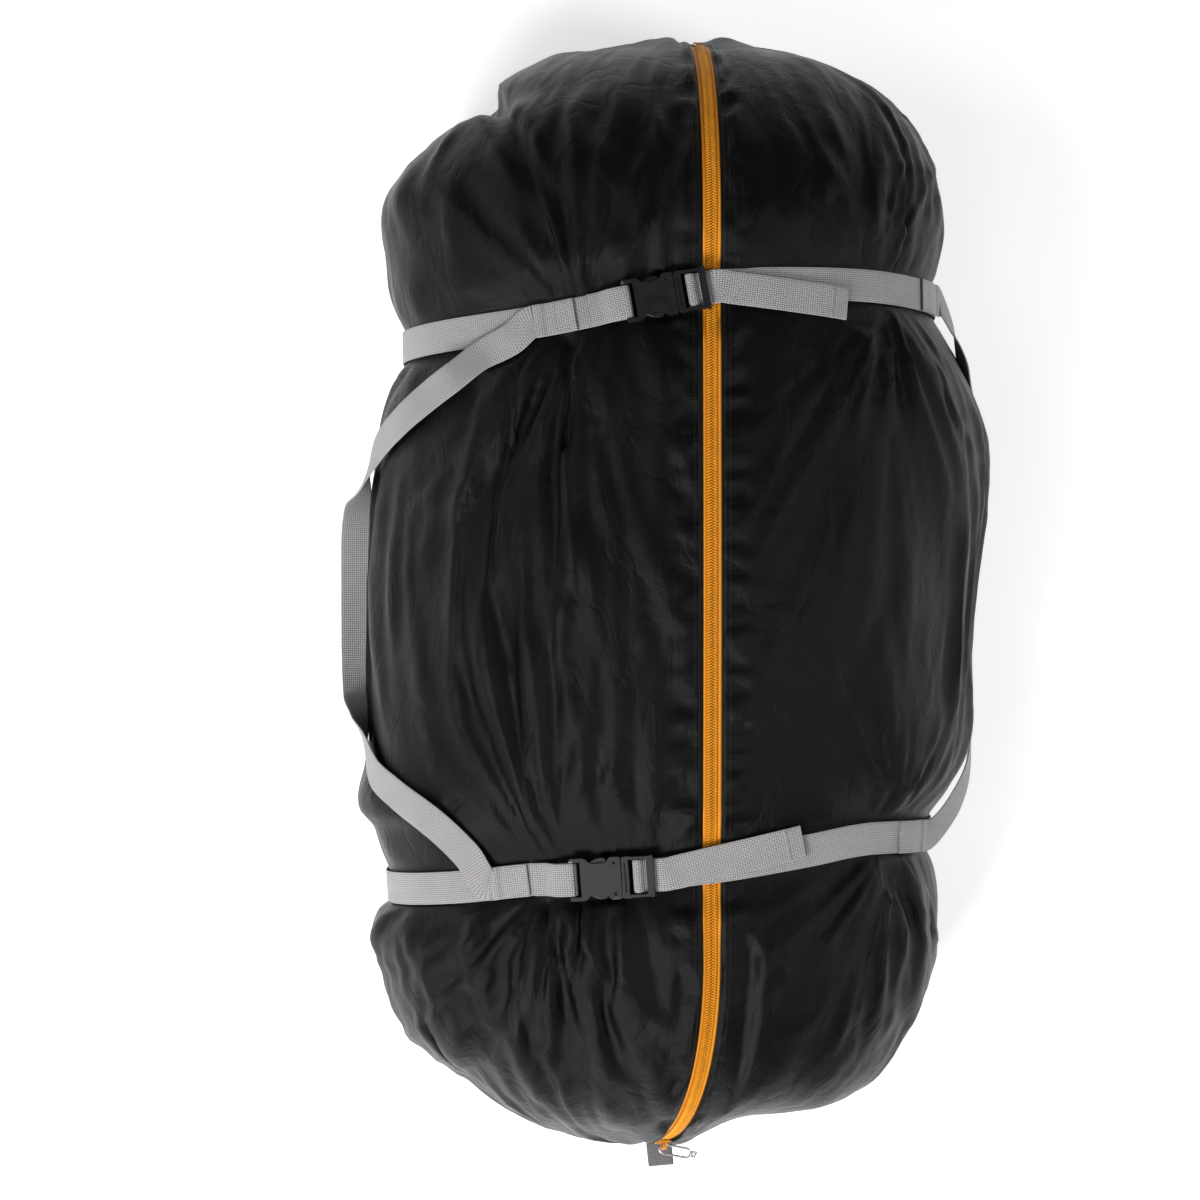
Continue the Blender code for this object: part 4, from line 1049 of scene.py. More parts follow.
def smoothed_rows(points, rows):
    """Evens out the ripples that run across the bag, and keeps the folds that run along it."""
    points = held_in(points.copy(), rows)
    rows = np.concatenate([np.full(CAP_RINGS, rows[0]), rows, np.full(CAP_RINGS, rows[-1])])
    between = (rows > FOOT_STRAP_Y) & (rows < HEAD_STRAP_Y)
    for n in range(BETWEEN_PASSES):
        free = ~under_strap(rows) & (between | (n < BEYOND_PASSES))
        free[[0, -1]] = False
        i = np.flatnonzero(free)
        even = points[i] * 0.5 + (points[i - 1] + points[i + 1]) * 0.25
        inner = slice(ZIP_COLUMNS, -ZIP_COLUMNS)
        points[i, inner] = even[:, inner]
    return points


def fan_height(x, y, fan):
    """Height at a place in plan of the folds that run out from one gathered spot."""
    at_x, at_y, heading, middle, spread, reach, height, seed = fan
    away = math.hypot(x - at_x, y - at_y)
    turn = math.atan2(x - at_x, (y - at_y) * heading) - math.radians(middle)
    share = turn / math.radians(spread)
    if abs(share) > 1 or away > 2.2 * reach:
        return 0
    ridge = 0.32 - abs(noise.noise(Vector((turn * FAN_RIDGES, away * 5, seed * 7.3))))
    ridge += 0.12 - 0.4 * abs(noise.noise(Vector((turn * FAN_RIDGES * 2.4, away * 9, seed * 3.1))))
    return height * ridge * (1 - share ** 2) * ease((away - 0.012) / 0.045) * math.exp(-(away / reach) ** 2)


def crease_height(x, y, line, depth, half_width):
    """Height at a place in plan of a crease: a narrow valley between low shoulders."""
    gap, along = 1.0, 0.0
    for n, (start, end) in enumerate(zip(line[:-1], line[1:])):
        step = (end[0] - start[0], end[1] - start[1])
        t = ((x - start[0]) * step[0] + (y - start[1]) * step[1]) / (step[0] ** 2 + step[1] ** 2)
        t = min(max(t, 0), 1)
        here = math.hypot(x - start[0] - step[0] * t, y - start[1] - step[1] * t)
        if here < gap:
            gap, along = here, (n + t) / (len(line) - 1)
    if gap > 5 * half_width:
        return 0
    valley = math.exp(-(gap / half_width) ** 2)
    shoulder = math.exp(-(gap / (2.4 * half_width)) ** 2)
    return depth * (0.55 * shoulder - valley) * (1 - 0.6 * along)


def lobe_height(x, y, lobe):
    at_x, at_y, half_x, half_y, height = lobe
    return height * math.exp(-((x - at_x) / half_x) ** 2 - ((y - at_y) / half_y) ** 2)


def fold(points, normals):
    """Adds the lobes, long folds and creases on the top and sides of the cloth."""
    for k, (x, y, z) in enumerate(points):
        if z < FOLDS_FROM:
            continue
        height = sum(fan_height(x, y, fan) for fan in FANS)
        height += sum(crease_height(x, y, *crease) for crease in CREASES)
        beside = strap_gap(y) - 0.016
        height += sum(lobe_height(x, y, lobe) for lobe in LOBES) * ease(beside / 0.02)
        points[k] += normals[k] * height * ease((z - FOLDS_FROM) / 0.05)


def with_lips(points, rows):
    """Adds columns of cloth at each edge of the grid that fold under beside the zip."""
    middle, _, side, up = zip_frames(rows)
    ends = CAP_RINGS
    edges = []
    for sign, edge in ((1, points[:, 0]), (-1, points[:, -1])):
        columns = []
        for out, rise in LIP:
            column = edge.copy()
            column[ends:-ends] = middle + side * sign * out * MM + up * rise * MM
            column[:ends, 1] -= rise * 0.2 * MM - 0.3 * MM
            column[-ends:, 1] += rise * 0.2 * MM - 0.3 * MM
            columns.append(column)
        edges.append(np.stack(columns, 1))
    return np.concatenate([edges[0], points, edges[1][:, ::-1]], 1)


def cloth_coordinates(points, rows):
    """Surface coordinates of the cloth grid, in metres: distance round from the zip, and row."""
    steps = np.linalg.norm(np.diff(points, axis=1), axis=2)
    run = np.concatenate([np.zeros((len(points), 1)), np.cumsum(steps, axis=1)], 1) + 5.0 * MM
    back = run[:, -1:] - run + 5.0 * MM
    caps = np.arange(1, CAP_RINGS + 1) * 0.02
    v = np.concatenate([rows[0] - caps[::-1], rows, rows[-1] + caps])
    return np.stack([np.where(run < back, run, -back), np.broadcast_to(v[:, None], run.shape)], -1)


def subdivided(name, points, uvs, levels):
    """A grid turned into a smoother, finer mesh. Each end closes at the middle of its last row."""
    ends = [np.broadcast_to(points[i].mean(0), points[:1].shape) for i in (0, -1)]
    points = np.concatenate([ends[0], points, ends[1]])
    uvs = np.concatenate([uvs[:1], uvs, uvs[-1:]])
    rough = mesh_object("rough_" + name, points.reshape(-1, 3), grid_faces(*points.shape[:2]), FABRIC,
                        uvs.reshape(-1, 2))
    finer = rough.modifiers.new("finer", "SUBSURF")
    finer.levels = levels
    finer.use_limit_surface = False
    mesh = bpy.data.meshes.new_from_object(rough.evaluated_get(bpy.context.evaluated_depsgraph_get()))
    mesh.name = name
    bpy.data.objects.remove(rough)
    return linked(name, mesh)


def press(points, centres, normals, half_width, depth, slope=1.6, reach=0.03):
    """Pushes cloth below a strip that lies on it: depth is from the strip's line to the cloth."""
    centres, normals = resampled(centres, normals, 3 * MM)
    _, across, up = line_frames(centres, normals)
    outward = unit((centres - (0, 0, WAIST_Z)) * (1, 0, 1))
    lying = np.sum(up * outward, axis=1) > 0.5
    centres, across, up = centres[lying], across[lying], up[lying]
    tree = search_tree(centres)
    for k, point in enumerate(points):
        _, i, distance = tree.find(point)
        if distance > reach:
            continue
        offset = point - centres[i]
        beside = max(0.0, abs(float(offset @ across[i])) - half_width)
        over = float(offset @ up[i]) + depth - beside * slope
        if over > 0:
            points[k] = point - up[i] * over


def crumple(points, normals, seed):
    """Adds creases too small for the cloth grid to have formed by itself."""
    shift = Vector((seed, 2 * seed, 3 * seed))
    for k, (point, normal) in enumerate(zip(points, normals)):
        at = Vector(point) + shift
        ridge = 0.5 - abs(noise.noise(at * 60))
        loose = 0.25 + 0.75 * ease((abs(point[1]) - HEAD_STRAP_Y) / 0.05)
        points[k] = point + normal * (noise.noise(at * 30) * 0.7 + ridge * 0.7) * loose * MM


PULL_ROOM = 30 * MM  # beside the zip's foot end, where the puller passes over the cloth


def bag_cloth():
    grid = with_lips(smoothed_rows(SETTLED, CLOTH_ROWS), CLOTH_ROWS)
    obj = subdivided("bag_cloth", grid, cloth_coordinates(grid, CLOTH_ROWS), 1)
    points = read(obj.data.vertices, "co")
    normals = read(obj.data.vertex_normals, "vector")
    outward = normals * away_from(points, zip_frames(np.array(CLOTH_ROWS))[0], 12 * MM, 30 * MM)
    fold(points, outward)
    crumple(points, outward, 4.0)
    foot_rows = [v for v in CLOTH_ROWS if v < -ARC_START + 0.03]
    foot_zip, _, _, foot_up = zip_frames(foot_rows)
    press(points, foot_zip, foot_up, PULL_ROOM, -3 * MM, reach=0.05)
    for centres, normals, _ in HANDLES.values():
        press(points, centres, normals, WEB_WIDTH / 2 + 1 * MM, 2.2 * MM, slope=1.2)
    for at, matrix, end in BUCKLES.values():
        line = in_frame(matrix, [(x, 0) for x in np.linspace(-42 * MM, 27 * MM, 12)])
        up = np.tile(np.array(matrix.col[2][:3]), (12, 1))
        press(points, line, up, BUCKLE_HALF + 1 * MM, 0.6 * MM, slope=1.0)
        press(points, *loose_line(at, matrix, end), WEB_WIDTH / 2 + 1 * MM, 1.6 * MM, slope=1.0)
        for strap in (left_strap_line(at, matrix), right_strap_line(at, matrix)):
            press(points, *strap, WEB_WIDTH / 2 + 0.3 * MM, 1.4 * MM)
    points[:, 2] = np.maximum(points[:, 2], 0.3 * MM)
    obj.data.vertices.foreach_set("co", points.reshape(-1).astype(np.float32))
    obj.data.update()
    placed(obj, "bag", "bag_fabric", "bag_left_panel", "bag_right_panel", "bag_base_panel",
           "bag_head_panel", "bag_foot_panel")
    return obj


def away_from(points, line, near, far):
    """0 within near of a line of points and 1 beyond far."""
    tree = search_tree(line)
    gaps = np.array([tree.find(point)[2] for point in points])
    return ease((gaps - near) / (far - near))[:, None]


# ---------------------------------------------------------------- webbing pieces

def strap_pieces(word, at, matrix, tail_end):
    """The sewn half, the adjustable half, the turn over the ladder lock, and the loose tail."""
    left = webbing(f"strap_{word}_sewn_half", *resampled(*left_strap_line(at, matrix), SCALLOP))
    placed(left, "bag", "webbing", f"strap_{word}_left")
    right = webbing(f"strap_{word}_adjustable_half", *resampled(*right_strap_line(at, matrix), SCALLOP))
    placed(right, "bag", "webbing", f"strap_{word}_right")
    centres, normals = resampled(*loose_line(at, matrix, tail_end), SCALLOP)
    local = np.array([(matrix.inverted() @ Vector(point))[0] for point in centres])
    cut = int(np.argmax((local > 22 * MM) & (np.arange(len(local)) > 12)))
    placed(webbing(f"strap_{word}_turn", centres[:cut + 1], normals[:cut + 1]),
           f"buckle_{word}_plug", "webbing", f"strap_{word}_lock_loop")
    loose_tail(word, centres[cut:], normals[cut:])


HEM = 13.0 * MM  # how much of a strap's end is folded under


def loose_tail(word, centres, normals):
    """The strap's loose end, with its end folded under and sewn down."""
    run = run_lengths(centres)
    from_end = run[-1] - run
    swells = 1 + 0.55 * (1 - ease((from_end - HEM) / (1.5 * MM)))
    across = line_frames(centres, normals)[1]
    wave = np.sin(run * 150) * np.exp(-run / 0.03) * 0.5 + np.sin(run * 62 + 1) * 0.5
    centres = centres + normals * (wave * ease(run / 0.012) * ease(from_end / 0.03) * MM)[:, None]
    body = f"strap_{word}_tail"
    piece = webbing(body + "_webbing", centres, normals, swells=swells)
    i = len(centres) - 1 - round((HEM - 1.5 * MM) / SCALLOP)
    frames = row_across(centres[i], unit(centres[i + 1] - centres[i]), across[i], normals[i], 11.2 * MM,
                        WEB / 2 * 1.55 + 0.10 * MM, 2.1 * MM)
    thread = repeated(body + "_stitches", bead(1.5 * MM, 0.5 * MM, 0.4 * MM), frames, DARK_THREAD)
    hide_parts(body)
    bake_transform(piece)
    placed(thread, body, "webbing")


def handle_pieces(word, centres, normals, hinges):
    """A handle's two sewn ends, which bend where they leave their straps, and its free grip."""
    centres, normals = resampled(centres, normals, SCALLOP)
    ends = [int(np.argmin(np.linalg.norm(centres - hinge, axis=1))) for hinge in hinges]
    reach = round(5 * MM / SCALLOP)
    first, last = ends[0] + reach, ends[1] - reach
    run = run_lengths(centres)
    body = f"handle_{word}"
    fold = 1 + 0.45 * (1 - ease((np.minimum(run, run[-1] - run) - 2.5 * MM) / (2 * MM)))
    for part, rows in (("head", slice(0, first + 1)), ("foot", slice(last, len(centres)))):
        piece = webbing(f"{body}_{part}_end", centres[rows], normals[rows], rows.start, fold[rows])
        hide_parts(f"{body}_sewn_{part}")
        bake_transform(piece)
        handle_stitches(f"{body}_{part}_stitches", centres[rows], normals[rows], part == "head")
    grip = webbing(f"{body}_webbing", centres[first:last + 1], normals[first:last + 1], first)
    placed(grip, body, "webbing", f"{body}_grip")


def handle_stitches(name, centres, normals, from_start):
    """Two rows across a sewn end, close to its folded edge, and two along it."""
    if not from_start:
        centres, normals = centres[::-1], normals[::-1]
    along, across, _ = line_frames(centres, normals)
    half, lift, pitch = 10.5 * MM, WEB / 2 + 0.12 * MM, 2.2 * MM
    near, far = round(3.5 * MM / SCALLOP), round(15.0 * MM / SCALLOP)
    frames = [row_across(centres[i], along[i], across[i], normals[i], half, lift, pitch)
              for i in (near, far)]
    frames.append(row_of_stitches(centres[near:far], across[near:far], normals[near:far], lift,
                                  (-half, half), pitch))
    thread = repeated(name, bead(1.6 * MM, 0.45 * MM, 0.35 * MM), np.concatenate(frames), GREY_THREAD)
    placed(thread, "bag", "webbing")


def end_tab():
    """A short folded tab of webbing sewn on at the zip's foot end, coloured darker as painted shade."""
    bag_foot = bag_point(math.pi / 2, -BAG_END)
    out = unit(np.array([0.10, -0.93, -0.35]))
    up = unit(np.cross([1.0, 0, 0], out))
    up = up if up[2] > 0 else -up
    start = bag_foot + np.array([-0.0005, -0.0065, -0.0125])
    length, gap = 17.0 * MM, 1.2 * MM
    turn = [(length + gap * math.cos(a), gap * math.sin(a)) for a in np.linspace(1.2, -1.2, 7)]
    line = ([(-0.004, gap * 0.4), (0, gap), (length * 0.5, gap), (length, gap)] + turn
            + [(length, -gap), (length * 0.5, -gap), (0, -gap), (-0.004, -gap * 0.4)])
    centres = np.array([start + out * a + up * b for a, b in line])
    side = np.cross(out, up)
    normals = np.cross(side, np.gradient(centres, axis=0))
    centres, normals = resampled(centres, normals, 0.5 * MM)
    _, across, up = line_frames(centres, normals)
    flat = np.linspace(-0.0097, 0.0097, 7)
    profile = [(a, 0.5 * MM) for a in flat] + [(0.0100, 0)] + [(a, -0.5 * MM) for a in flat[::-1]]
    profile = np.array(profile + [(-0.0100, 0)])
    piece = swept("zip_end_tab_webbing", profile, centres, across, up, SHADED_TAB_WEBBING,
                  strip_uvs(centres, profile))
    placed(piece, "bag", "webbing", "zip_end_tab")


# ---------------------------------------------------------------- the zip

TOOTH_PITCH = 2.1 * MM
END_ROWS = ARC_START + ARC_RADIUS * np.sin(np.linspace(0, ARC_SWEEP, 80))
FLAT_ROWS = np.linspace(-ARC_START, ARC_START, 600)[1:-1]
ZIP_PARTS = zip_frames(np.clip(np.concatenate([-END_ROWS[::-1], FLAT_ROWS, END_ROWS]), -BAG_END, BAG_END))


def zip_line(spacing, trim=0.0):
    """Evenly spaced frames along the zip from foot to head: points, along, side and up."""
    run = run_lengths(ZIP_PARTS[0])
    at = np.arange(trim, run[-1] - trim, spacing)
    points, along, side, up = (np.stack([np.interp(at, run, part[:, k]) for k in range(3)], 1)
                               for part in ZIP_PARTS)
    return at, points, unit(along), unit(side), unit(up)


def zip_tapes():
    """A strip of woven tape each side of the coils, with a raised rib beside them."""
    at, points, _, side, up = zip_line(2.0 * MM)
    top = [(0.35, -0.2), (1.2, -0.15), (2.9, -0.15), (4.2, -0.25), (4.6, -0.35), (5.0, 0.0),
           (5.6, 0.2), (6.3, 0.1), (6.9, -0.2), (8.2, -1.2)]
    bottom = [(out, rise - 0.55) for out, rise in top[::-1]]
    for word, sign in (("left", -1), ("right", 1)):
        profile = np.array(top + bottom) * MM * (sign, 1)
        uvs = np.stack(np.broadcast_arrays(profile[None, :, 0], at[:, None]), -1)
        tape = swept(f"zip_tape_{word}_cloth", profile, points, side, up, TAPE_CLOTH, uvs.reshape(-1, 2))
        placed(tape, "bag", "zip_tape", f"zip_tape_{word}")


def coils():
    """The nylon coils, as single turns that mesh in the middle, and the thread that holds them."""
    turn = bead(4.7 * MM, 1.0 * MM, 1.3 * MM, rings=5)
    stitch = bead(1.5 * MM, 0.6 * MM, 0.42 * MM)
    _, points, along, side, up = zip_line(TOOTH_PITCH, trim=2 * MM)
    for word, sign, shift in (("left", -1, 0.0), ("right", 1, TOOTH_PITCH / 2)):
        out = side * sign
        slope = unit(out - along * 0.42)
        rise = unit(up + out * -0.10)
        centres = points + along * shift + out * 1.95 * MM + up * 0.55 * MM
        frames = np.stack([centres, slope, np.cross(rise, slope), rise], 1)
        turns = repeated(f"zip_coil_{word}_turns", turn, frames, COIL_NYLON)
        placed(turns, "bag", "zip_tape", f"zip_coil_{word}")
        frames = np.stack([points + out * 2.5 * MM + up * 1.2 * MM, along, side, up], 1)
        thread = repeated(f"zip_coil_{word}_thread", stitch, frames, COIL_NYLON)
        placed(thread, "bag", "zip_tape")


def facing_stitches(cloth):
    """Two rows of stitches through the folded cloth on each side of the zip."""
    bpy.context.view_layer.update()
    tree = BVHTree.FromPolygons([v.co for v in cloth.data.vertices],
                                [p.vertices for p in cloth.data.polygons])
    _, points, along, side, up = zip_line(2.6 * MM, trim=6 * MM)
    shape = bead(1.9 * MM, 0.55 * MM, 0.45 * MM)
    for word, sign in (("left", -1), ("right", 1)):
        frames = []
        for out in (9.6 * MM, 13.4 * MM):
            for point, forward, right, above in zip(points, along, side, up):
                start = Vector(point + right * sign * out + above * 0.02)
                spot, normal, _, _ = tree.ray_cast(start, Vector(-above), 0.05)
                if spot is None:
                    continue
                across = unit(np.cross(np.array(normal), forward))
                frames.append([np.array(spot) + np.array(normal) * 0.08 * MM, np.cross(across, normal),
                               across, np.array(normal)])
        thread = repeated(f"facing_stitches_{word}", shape, frames, BLACK_THREAD)
        placed(thread, "bag", "bag_fabric")


def end_frame(end, setback=0.0):
    """A frame on the axis of an end arc of the crown, turned towards a point of the zip."""
    lean = HEAD_LEAN if end > 0 else FOOT_LEAN
    start = Vector((CROWN_X, end * ARC_START, CROWN_Z))
    inward = Vector((-math.sin(lean), 0, -math.cos(lean)))
    axis = Vector((math.cos(lean), 0, -math.sin(lean)))
    turn = Matrix.Rotation(-end * (ARC_SWEEP - setback / ARC_RADIUS), 4, axis)
    stand = Matrix((axis, Vector((0, 1, 0)), -inward)).transposed().to_4x4()
    return Matrix.Translation(start + inward * ARC_RADIUS) @ turn @ stand


def plate(outline, low, high):
    """An extruded outline as a bmesh."""
    made = bmesh.new()
    bottom = [made.verts.new((x, y, low)) for x, y in outline]
    top = [made.verts.new((x, y, high)) for x, y in outline]
    made.faces.new(bottom[::-1])
    made.faces.new(top)
    for i in range(len(outline)):
        j = (i + 1) % len(outline)
        made.faces.new((bottom[i], bottom[j], top[j], top[i]))
    return made


def block(low, high):
    (x0, y0, z0), (x1, y1, z1) = low, high
    return plate([(x0, y0), (x1, y0), (x1, y1), (x0, y1)], z0, z1)


def solid(name, made, matrix, finish):
    """A bmesh made into an object, with its points moved into a frame."""
    mesh = bpy.data.meshes.new(name)
    bmesh.ops.recalc_face_normals(made, faces=made.faces)
    made.to_mesh(mesh)
    made.free()
    mesh.transform(matrix)
    mesh.materials.append(finish)
    return linked(name, mesh)


LARGE_FACE = 12e-6  # square metres: larger faces are shaded flat, and smaller ones smooth


def shaped(obj, operations, matrix, bevel, segments=3, angle=28):
    """Cuts and joins blocks, rounds the edges, and makes the result the object's own mesh."""
    helpers = []
    for n, (operation, made) in enumerate(operations):
        helper = solid(f"{obj.name}_helper_{n}", made, matrix, obj.data.materials[0])
        helpers.append(helper)
        change = obj.modifiers.new(f"change_{n}", "BOOLEAN")
        change.operation = operation
        change.solver = "EXACT"
        change.object = helper
    soft = obj.modifiers.new("soft_edges", "BEVEL")
    soft.width = bevel
    soft.segments = segments
    soft.limit_method = "ANGLE"
    soft.angle_limit = math.radians(angle)
    mesh = bpy.data.meshes.new_from_object(obj.evaluated_get(bpy.context.evaluated_depsgraph_get()))
    obj.modifiers.clear()
    obj.data = mesh
    for face in mesh.polygons:
        face.use_smooth = face.area < LARGE_FACE
    for helper in helpers:
        bpy.data.objects.remove(helper)
    return obj


def mirrored(half):
    """An outline from its points with y above 0, listed from one end to the other."""
    return half + [(x, -y) for x, y in half[::-1]]


def slider():
    """Painted wings that flare at the front, a post between the coils, and a raised bridge."""
    frame = end_frame(-1, SLIDER_SETBACK)
    deck = ARC_RADIUS + COIL + 1.7 * MM
    wing = [(x * MM, y * MM) for x, y in
            ((5.4, 5.6), (5.2, 2.5), (4.2, -2.0), (3.9, -5.6), (-3.9, -5.6), (-4.2, -2.0), (-5.2, 2.5),
             (-5.4, 5.6), (-2.2, 6.0), (0, 5.2), (2.2, 6.0))]
    obj = solid("zip_slider_body", plate(wing, deck - 1.4 * MM, deck), frame, ENAMEL)
    low = ARC_RADIUS - 2.9 * MM
    operations = [("UNION", block((-0.25 * MM, -2 * MM, ARC_RADIUS - 2.4 * MM),
                                  (0.25 * MM, 2 * MM, deck - 0.5 * MM))),
                  ("UNION", plate(wing, low, low + 1.0 * MM))]
    for y in (-4.4 * MM, 3.0 * MM):
        operations.append(("UNION", block((-1.0 * MM, y, deck - 0.5 * MM),
                                          (1.0 * MM, y + 1.4 * MM, deck + 4.8 * MM))))
    operations.append(("UNION", block((-1.0 * MM, -4.4 * MM, deck + BRIDGE_Z - 0.6 * MM),
                                      (1.0 * MM, 4.4 * MM, deck + BRIDGE_Z + 0.6 * MM))))
    placed(shaped(obj, operations, frame, 0.35 * MM), "zip_slider", "zip_slider_paint", "zip_slider")
    return frame @ Matrix.Translation((0, 0, deck + BRIDGE_Z)) @ Matrix.Rotation(-PULL_RISE, 4, "Y")


def puller(hinge):
    """A wire ring hooked round the bridge, with a small paddle at its far end."""
    long, half = 18.5 * MM, 3.6 * MM
    near, far = np.linspace(-math.pi / 2, -1.5 * math.pi, 15), np.linspace(math.pi / 2, -math.pi / 2, 15)
    flat = [(half * math.cos(a), half * math.sin(a)) for a in near]
    flat += [(long / 2, half)] + [(long + half * math.cos(a), half * math.sin(a)) for a in far]
    flat += [(long / 2, -half)]
    line = np.array([hinge @ Vector((x, 0, z)) for x, z in flat])
    following = np.roll(line, -1, 0) - np.roll(line, 1, 0)
    side = np.tile(np.array(hinge.col[1][:3]), (len(line), 1))
    ring = swept("zip_pull_ring", round_section(0.85 * MM, 12), line, side,
                 unit(np.cross(side, following)), NICKEL, ring=True)
    placed(ring, "zip_pull", "pull_wire", "zip_pull")
    start = long + half - 0.6 * MM
    outline = [(start, 2.0 * MM), (start + 1.2 * MM, 2.6 * MM), (start + 5.0 * MM, 2.6 * MM),
               (start + 6.0 * MM, 1.6 * MM)]
    stand = hinge @ Matrix.Rotation(math.pi / 2, 4, "X")
    obj = solid("zip_pull_paddle", plate(mirrored(outline), -0.8 * MM, 0.8 * MM), stand, NICKEL)
    hole = plate([(start + 3.4 * MM + 0.9 * MM * math.cos(a), 0.9 * MM * math.sin(a))
                  for a in np.linspace(0, 2 * math.pi, 14, endpoint=False)], -2 * MM, 2 * MM)
    placed(shaped(obj, [("DIFFERENCE", hole)], stand, 0.25 * MM), "zip_pull", "pull_wire")


def zip_stops():
    """A moulded stop over the coils at each end of the zip."""
    for word, end in (("head", 1), ("foot", -1)):
        frame = end_frame(end)
        base = ARC_RADIUS + COIL + 0.4 * MM
        low, high = sorted([-end * 0.8 * MM, end * 1.2 * MM])
        across_coils = block((-4.0 * MM, low, base), (4.0 * MM, high, base + 1.4 * MM))
        obj = solid(f"zip_{word}_stop_block", across_coils, frame, COIL_NYLON)
        groove = block((-0.3 * MM, low - 1 * MM, base + 0.9 * MM), (0.3 * MM, high + 1 * MM, base + 2 * MM))
        placed(shaped(obj, [("DIFFERENCE", groove)], frame, 0.35 * MM), "bag", "zip_tape",
               f"zip_{word}_stop")


# ---------------------------------------------------------------- the buckles

SOCKET_HALF_OUTLINE = [(0, 15.2), (-1.0, 16.0), (-7.0, 16.0), (-8.6, 15.4), (-9.8, 13.4), (-11.4, 12.1),
                       (-14.0, 11.7), (-21.0, 11.7), (-23.2, 12.2), (-25.0, 13.8), (-26.6, 15.4),
                       (-28.4, 16.0), (-38.0, 16.0), (-39.0, 15.0)]
PRONG_OUTLINE = [(-0.4, 8.4), (-0.4, 11.0), (-5.0, 12.0), (-10.6, 12.3), (-10.8, 14.4), (-12.5, 15.5),
                 (-15.5, 15.8), (-19.0, 15.0), (-22.5, 13.2), (-25.2, 10.8), (-25.8, 9.6), (-24.8, 9.0),
                 (-21.5, 10.9), (-17.0, 11.6), (-12.0, 10.8), (-6.0, 9.2)]


def ball(centre, radius):
    made = bmesh.new()
    bmesh.ops.create_icosphere(made, subdivisions=3, radius=radius)
    bmesh.ops.translate(made, vec=centre, verts=made.verts)
    return made


def socket(word, frame):
    """The housing: waisted sides that show the prongs, a hollow mouth and a bar for the webbing."""
    outline = [(x * MM, y * MM) for x, y in mirrored(SOCKET_HALF_OUTLINE)]
    obj = solid(f"buckle_{word}_housing", plate(outline, 0, BUCKLE_HEIGHT), frame, PLASTIC)
    back, wall, over = -SOCKET_LENGTH, 1.6 * MM, BUCKLE_HEIGHT + 1 * MM
    cuts = [block((-29 * MM, -SLOT_HALF, wall), (5 * MM, SLOT_HALF, BUCKLE_HEIGHT - wall)),
            block((back + 3.6 * MM, -SLOT_HALF, -1 * MM), (-30.6 * MM, SLOT_HALF, over)),
            block((back - 1 * MM, -SLOT_HALF, -1 * MM), (back + 4.6 * MM, SLOT_HALF, BAR_Z - 1 * MM)),
            block((back - 1 * MM, -SLOT_HALF, BAR_Z + 1 * MM), (back + 4.6 * MM, SLOT_HALF, over))]
    for side in (-1, 1):
        low, high = sorted([side * 11.0 * MM, side * 20 * MM])
        cuts.append(block((-24.5 * MM, low, wall), (-10.4 * MM, high, BUCKLE_HEIGHT - wall)))
        for z in (0.15 * MM, BUCKLE_HEIGHT - 0.15 * MM):
            cuts.append(ball((-4.6 * MM, side * 11.6 * MM, z), 1.25 * MM))
    shaped(obj, [("DIFFERENCE", made) for made in cuts], frame, 0.45 * MM)
    placed(obj, "bag", "buckle_plastic", f"buckle_{word}_socket")


def plug(word, frame):
    """The frame of the ladder lock, its two bars, a ribbed lip at the mouth and a tongue."""
    front = 0.5 * MM
    half = [(front, 14.4 * MM), (front + 1.0 * MM, 15.6 * MM), (5.0 * MM, 16.0 * MM), (9.0 * MM, 15.4 * MM),
            (20.0 * MM, 15.4 * MM), (23.6 * MM, 16.0 * MM), (PLUG_LENGTH, 15.2 * MM)]
    obj = solid(f"buckle_{word}_ladder", plate(mirrored(half), 0, 8.6 * MM), frame, PLASTIC)
    bar = BAR_Z - 1.4 * MM
    operations = [
        ("DIFFERENCE", block((6.0 * MM, -SLOT_HALF, -1 * MM), (19.2 * MM, SLOT_HALF, 10 * MM))),
        ("DIFFERENCE", block((18.0 * MM, -SLOT_HALF, -1 * MM), (30 * MM, SLOT_HALF, 4.5 * MM))),
        ("DIFFERENCE", block((3.0 * MM, -11 * MM, 7.9 * MM), (3.7 * MM, 11 * MM, 10 * MM))),
        ("UNION", block((10.9 * MM, -SLOT_HALF - 1 * MM, bar), (13.0 * MM, SLOT_HALF + 1 * MM, 5.3 * MM))),
        ("UNION", block((-20 * MM, -3.4 * MM, 2.4 * MM), (front + 1 * MM, 3.4 * MM, 6.6 * MM)))]
    shaped(obj, operations, frame, 0.4 * MM)
    placed(obj, f"buckle_{word}_plug", "buckle_plastic", f"buckle_{word}_plug")


def prongs(word, frame):
    """The two latch arms, each on its own body."""
    for name, side in (("upper", 1), ("lower", -1)):
        outline = [(x * MM, side * y * MM) for x, y in PRONG_OUTLINE]
        obj = solid(f"buckle_{word}_arm_{name}", plate(outline, 2.1 * MM, 6.9 * MM), frame, PLASTIC)
        body = f"buckle_{word}_prong_{name}"
        placed(shaped(obj, [], frame, 0.5 * MM, angle=15), body, "buckle_plastic", body)


# ---------------------------------------------------------------- what the bag holds

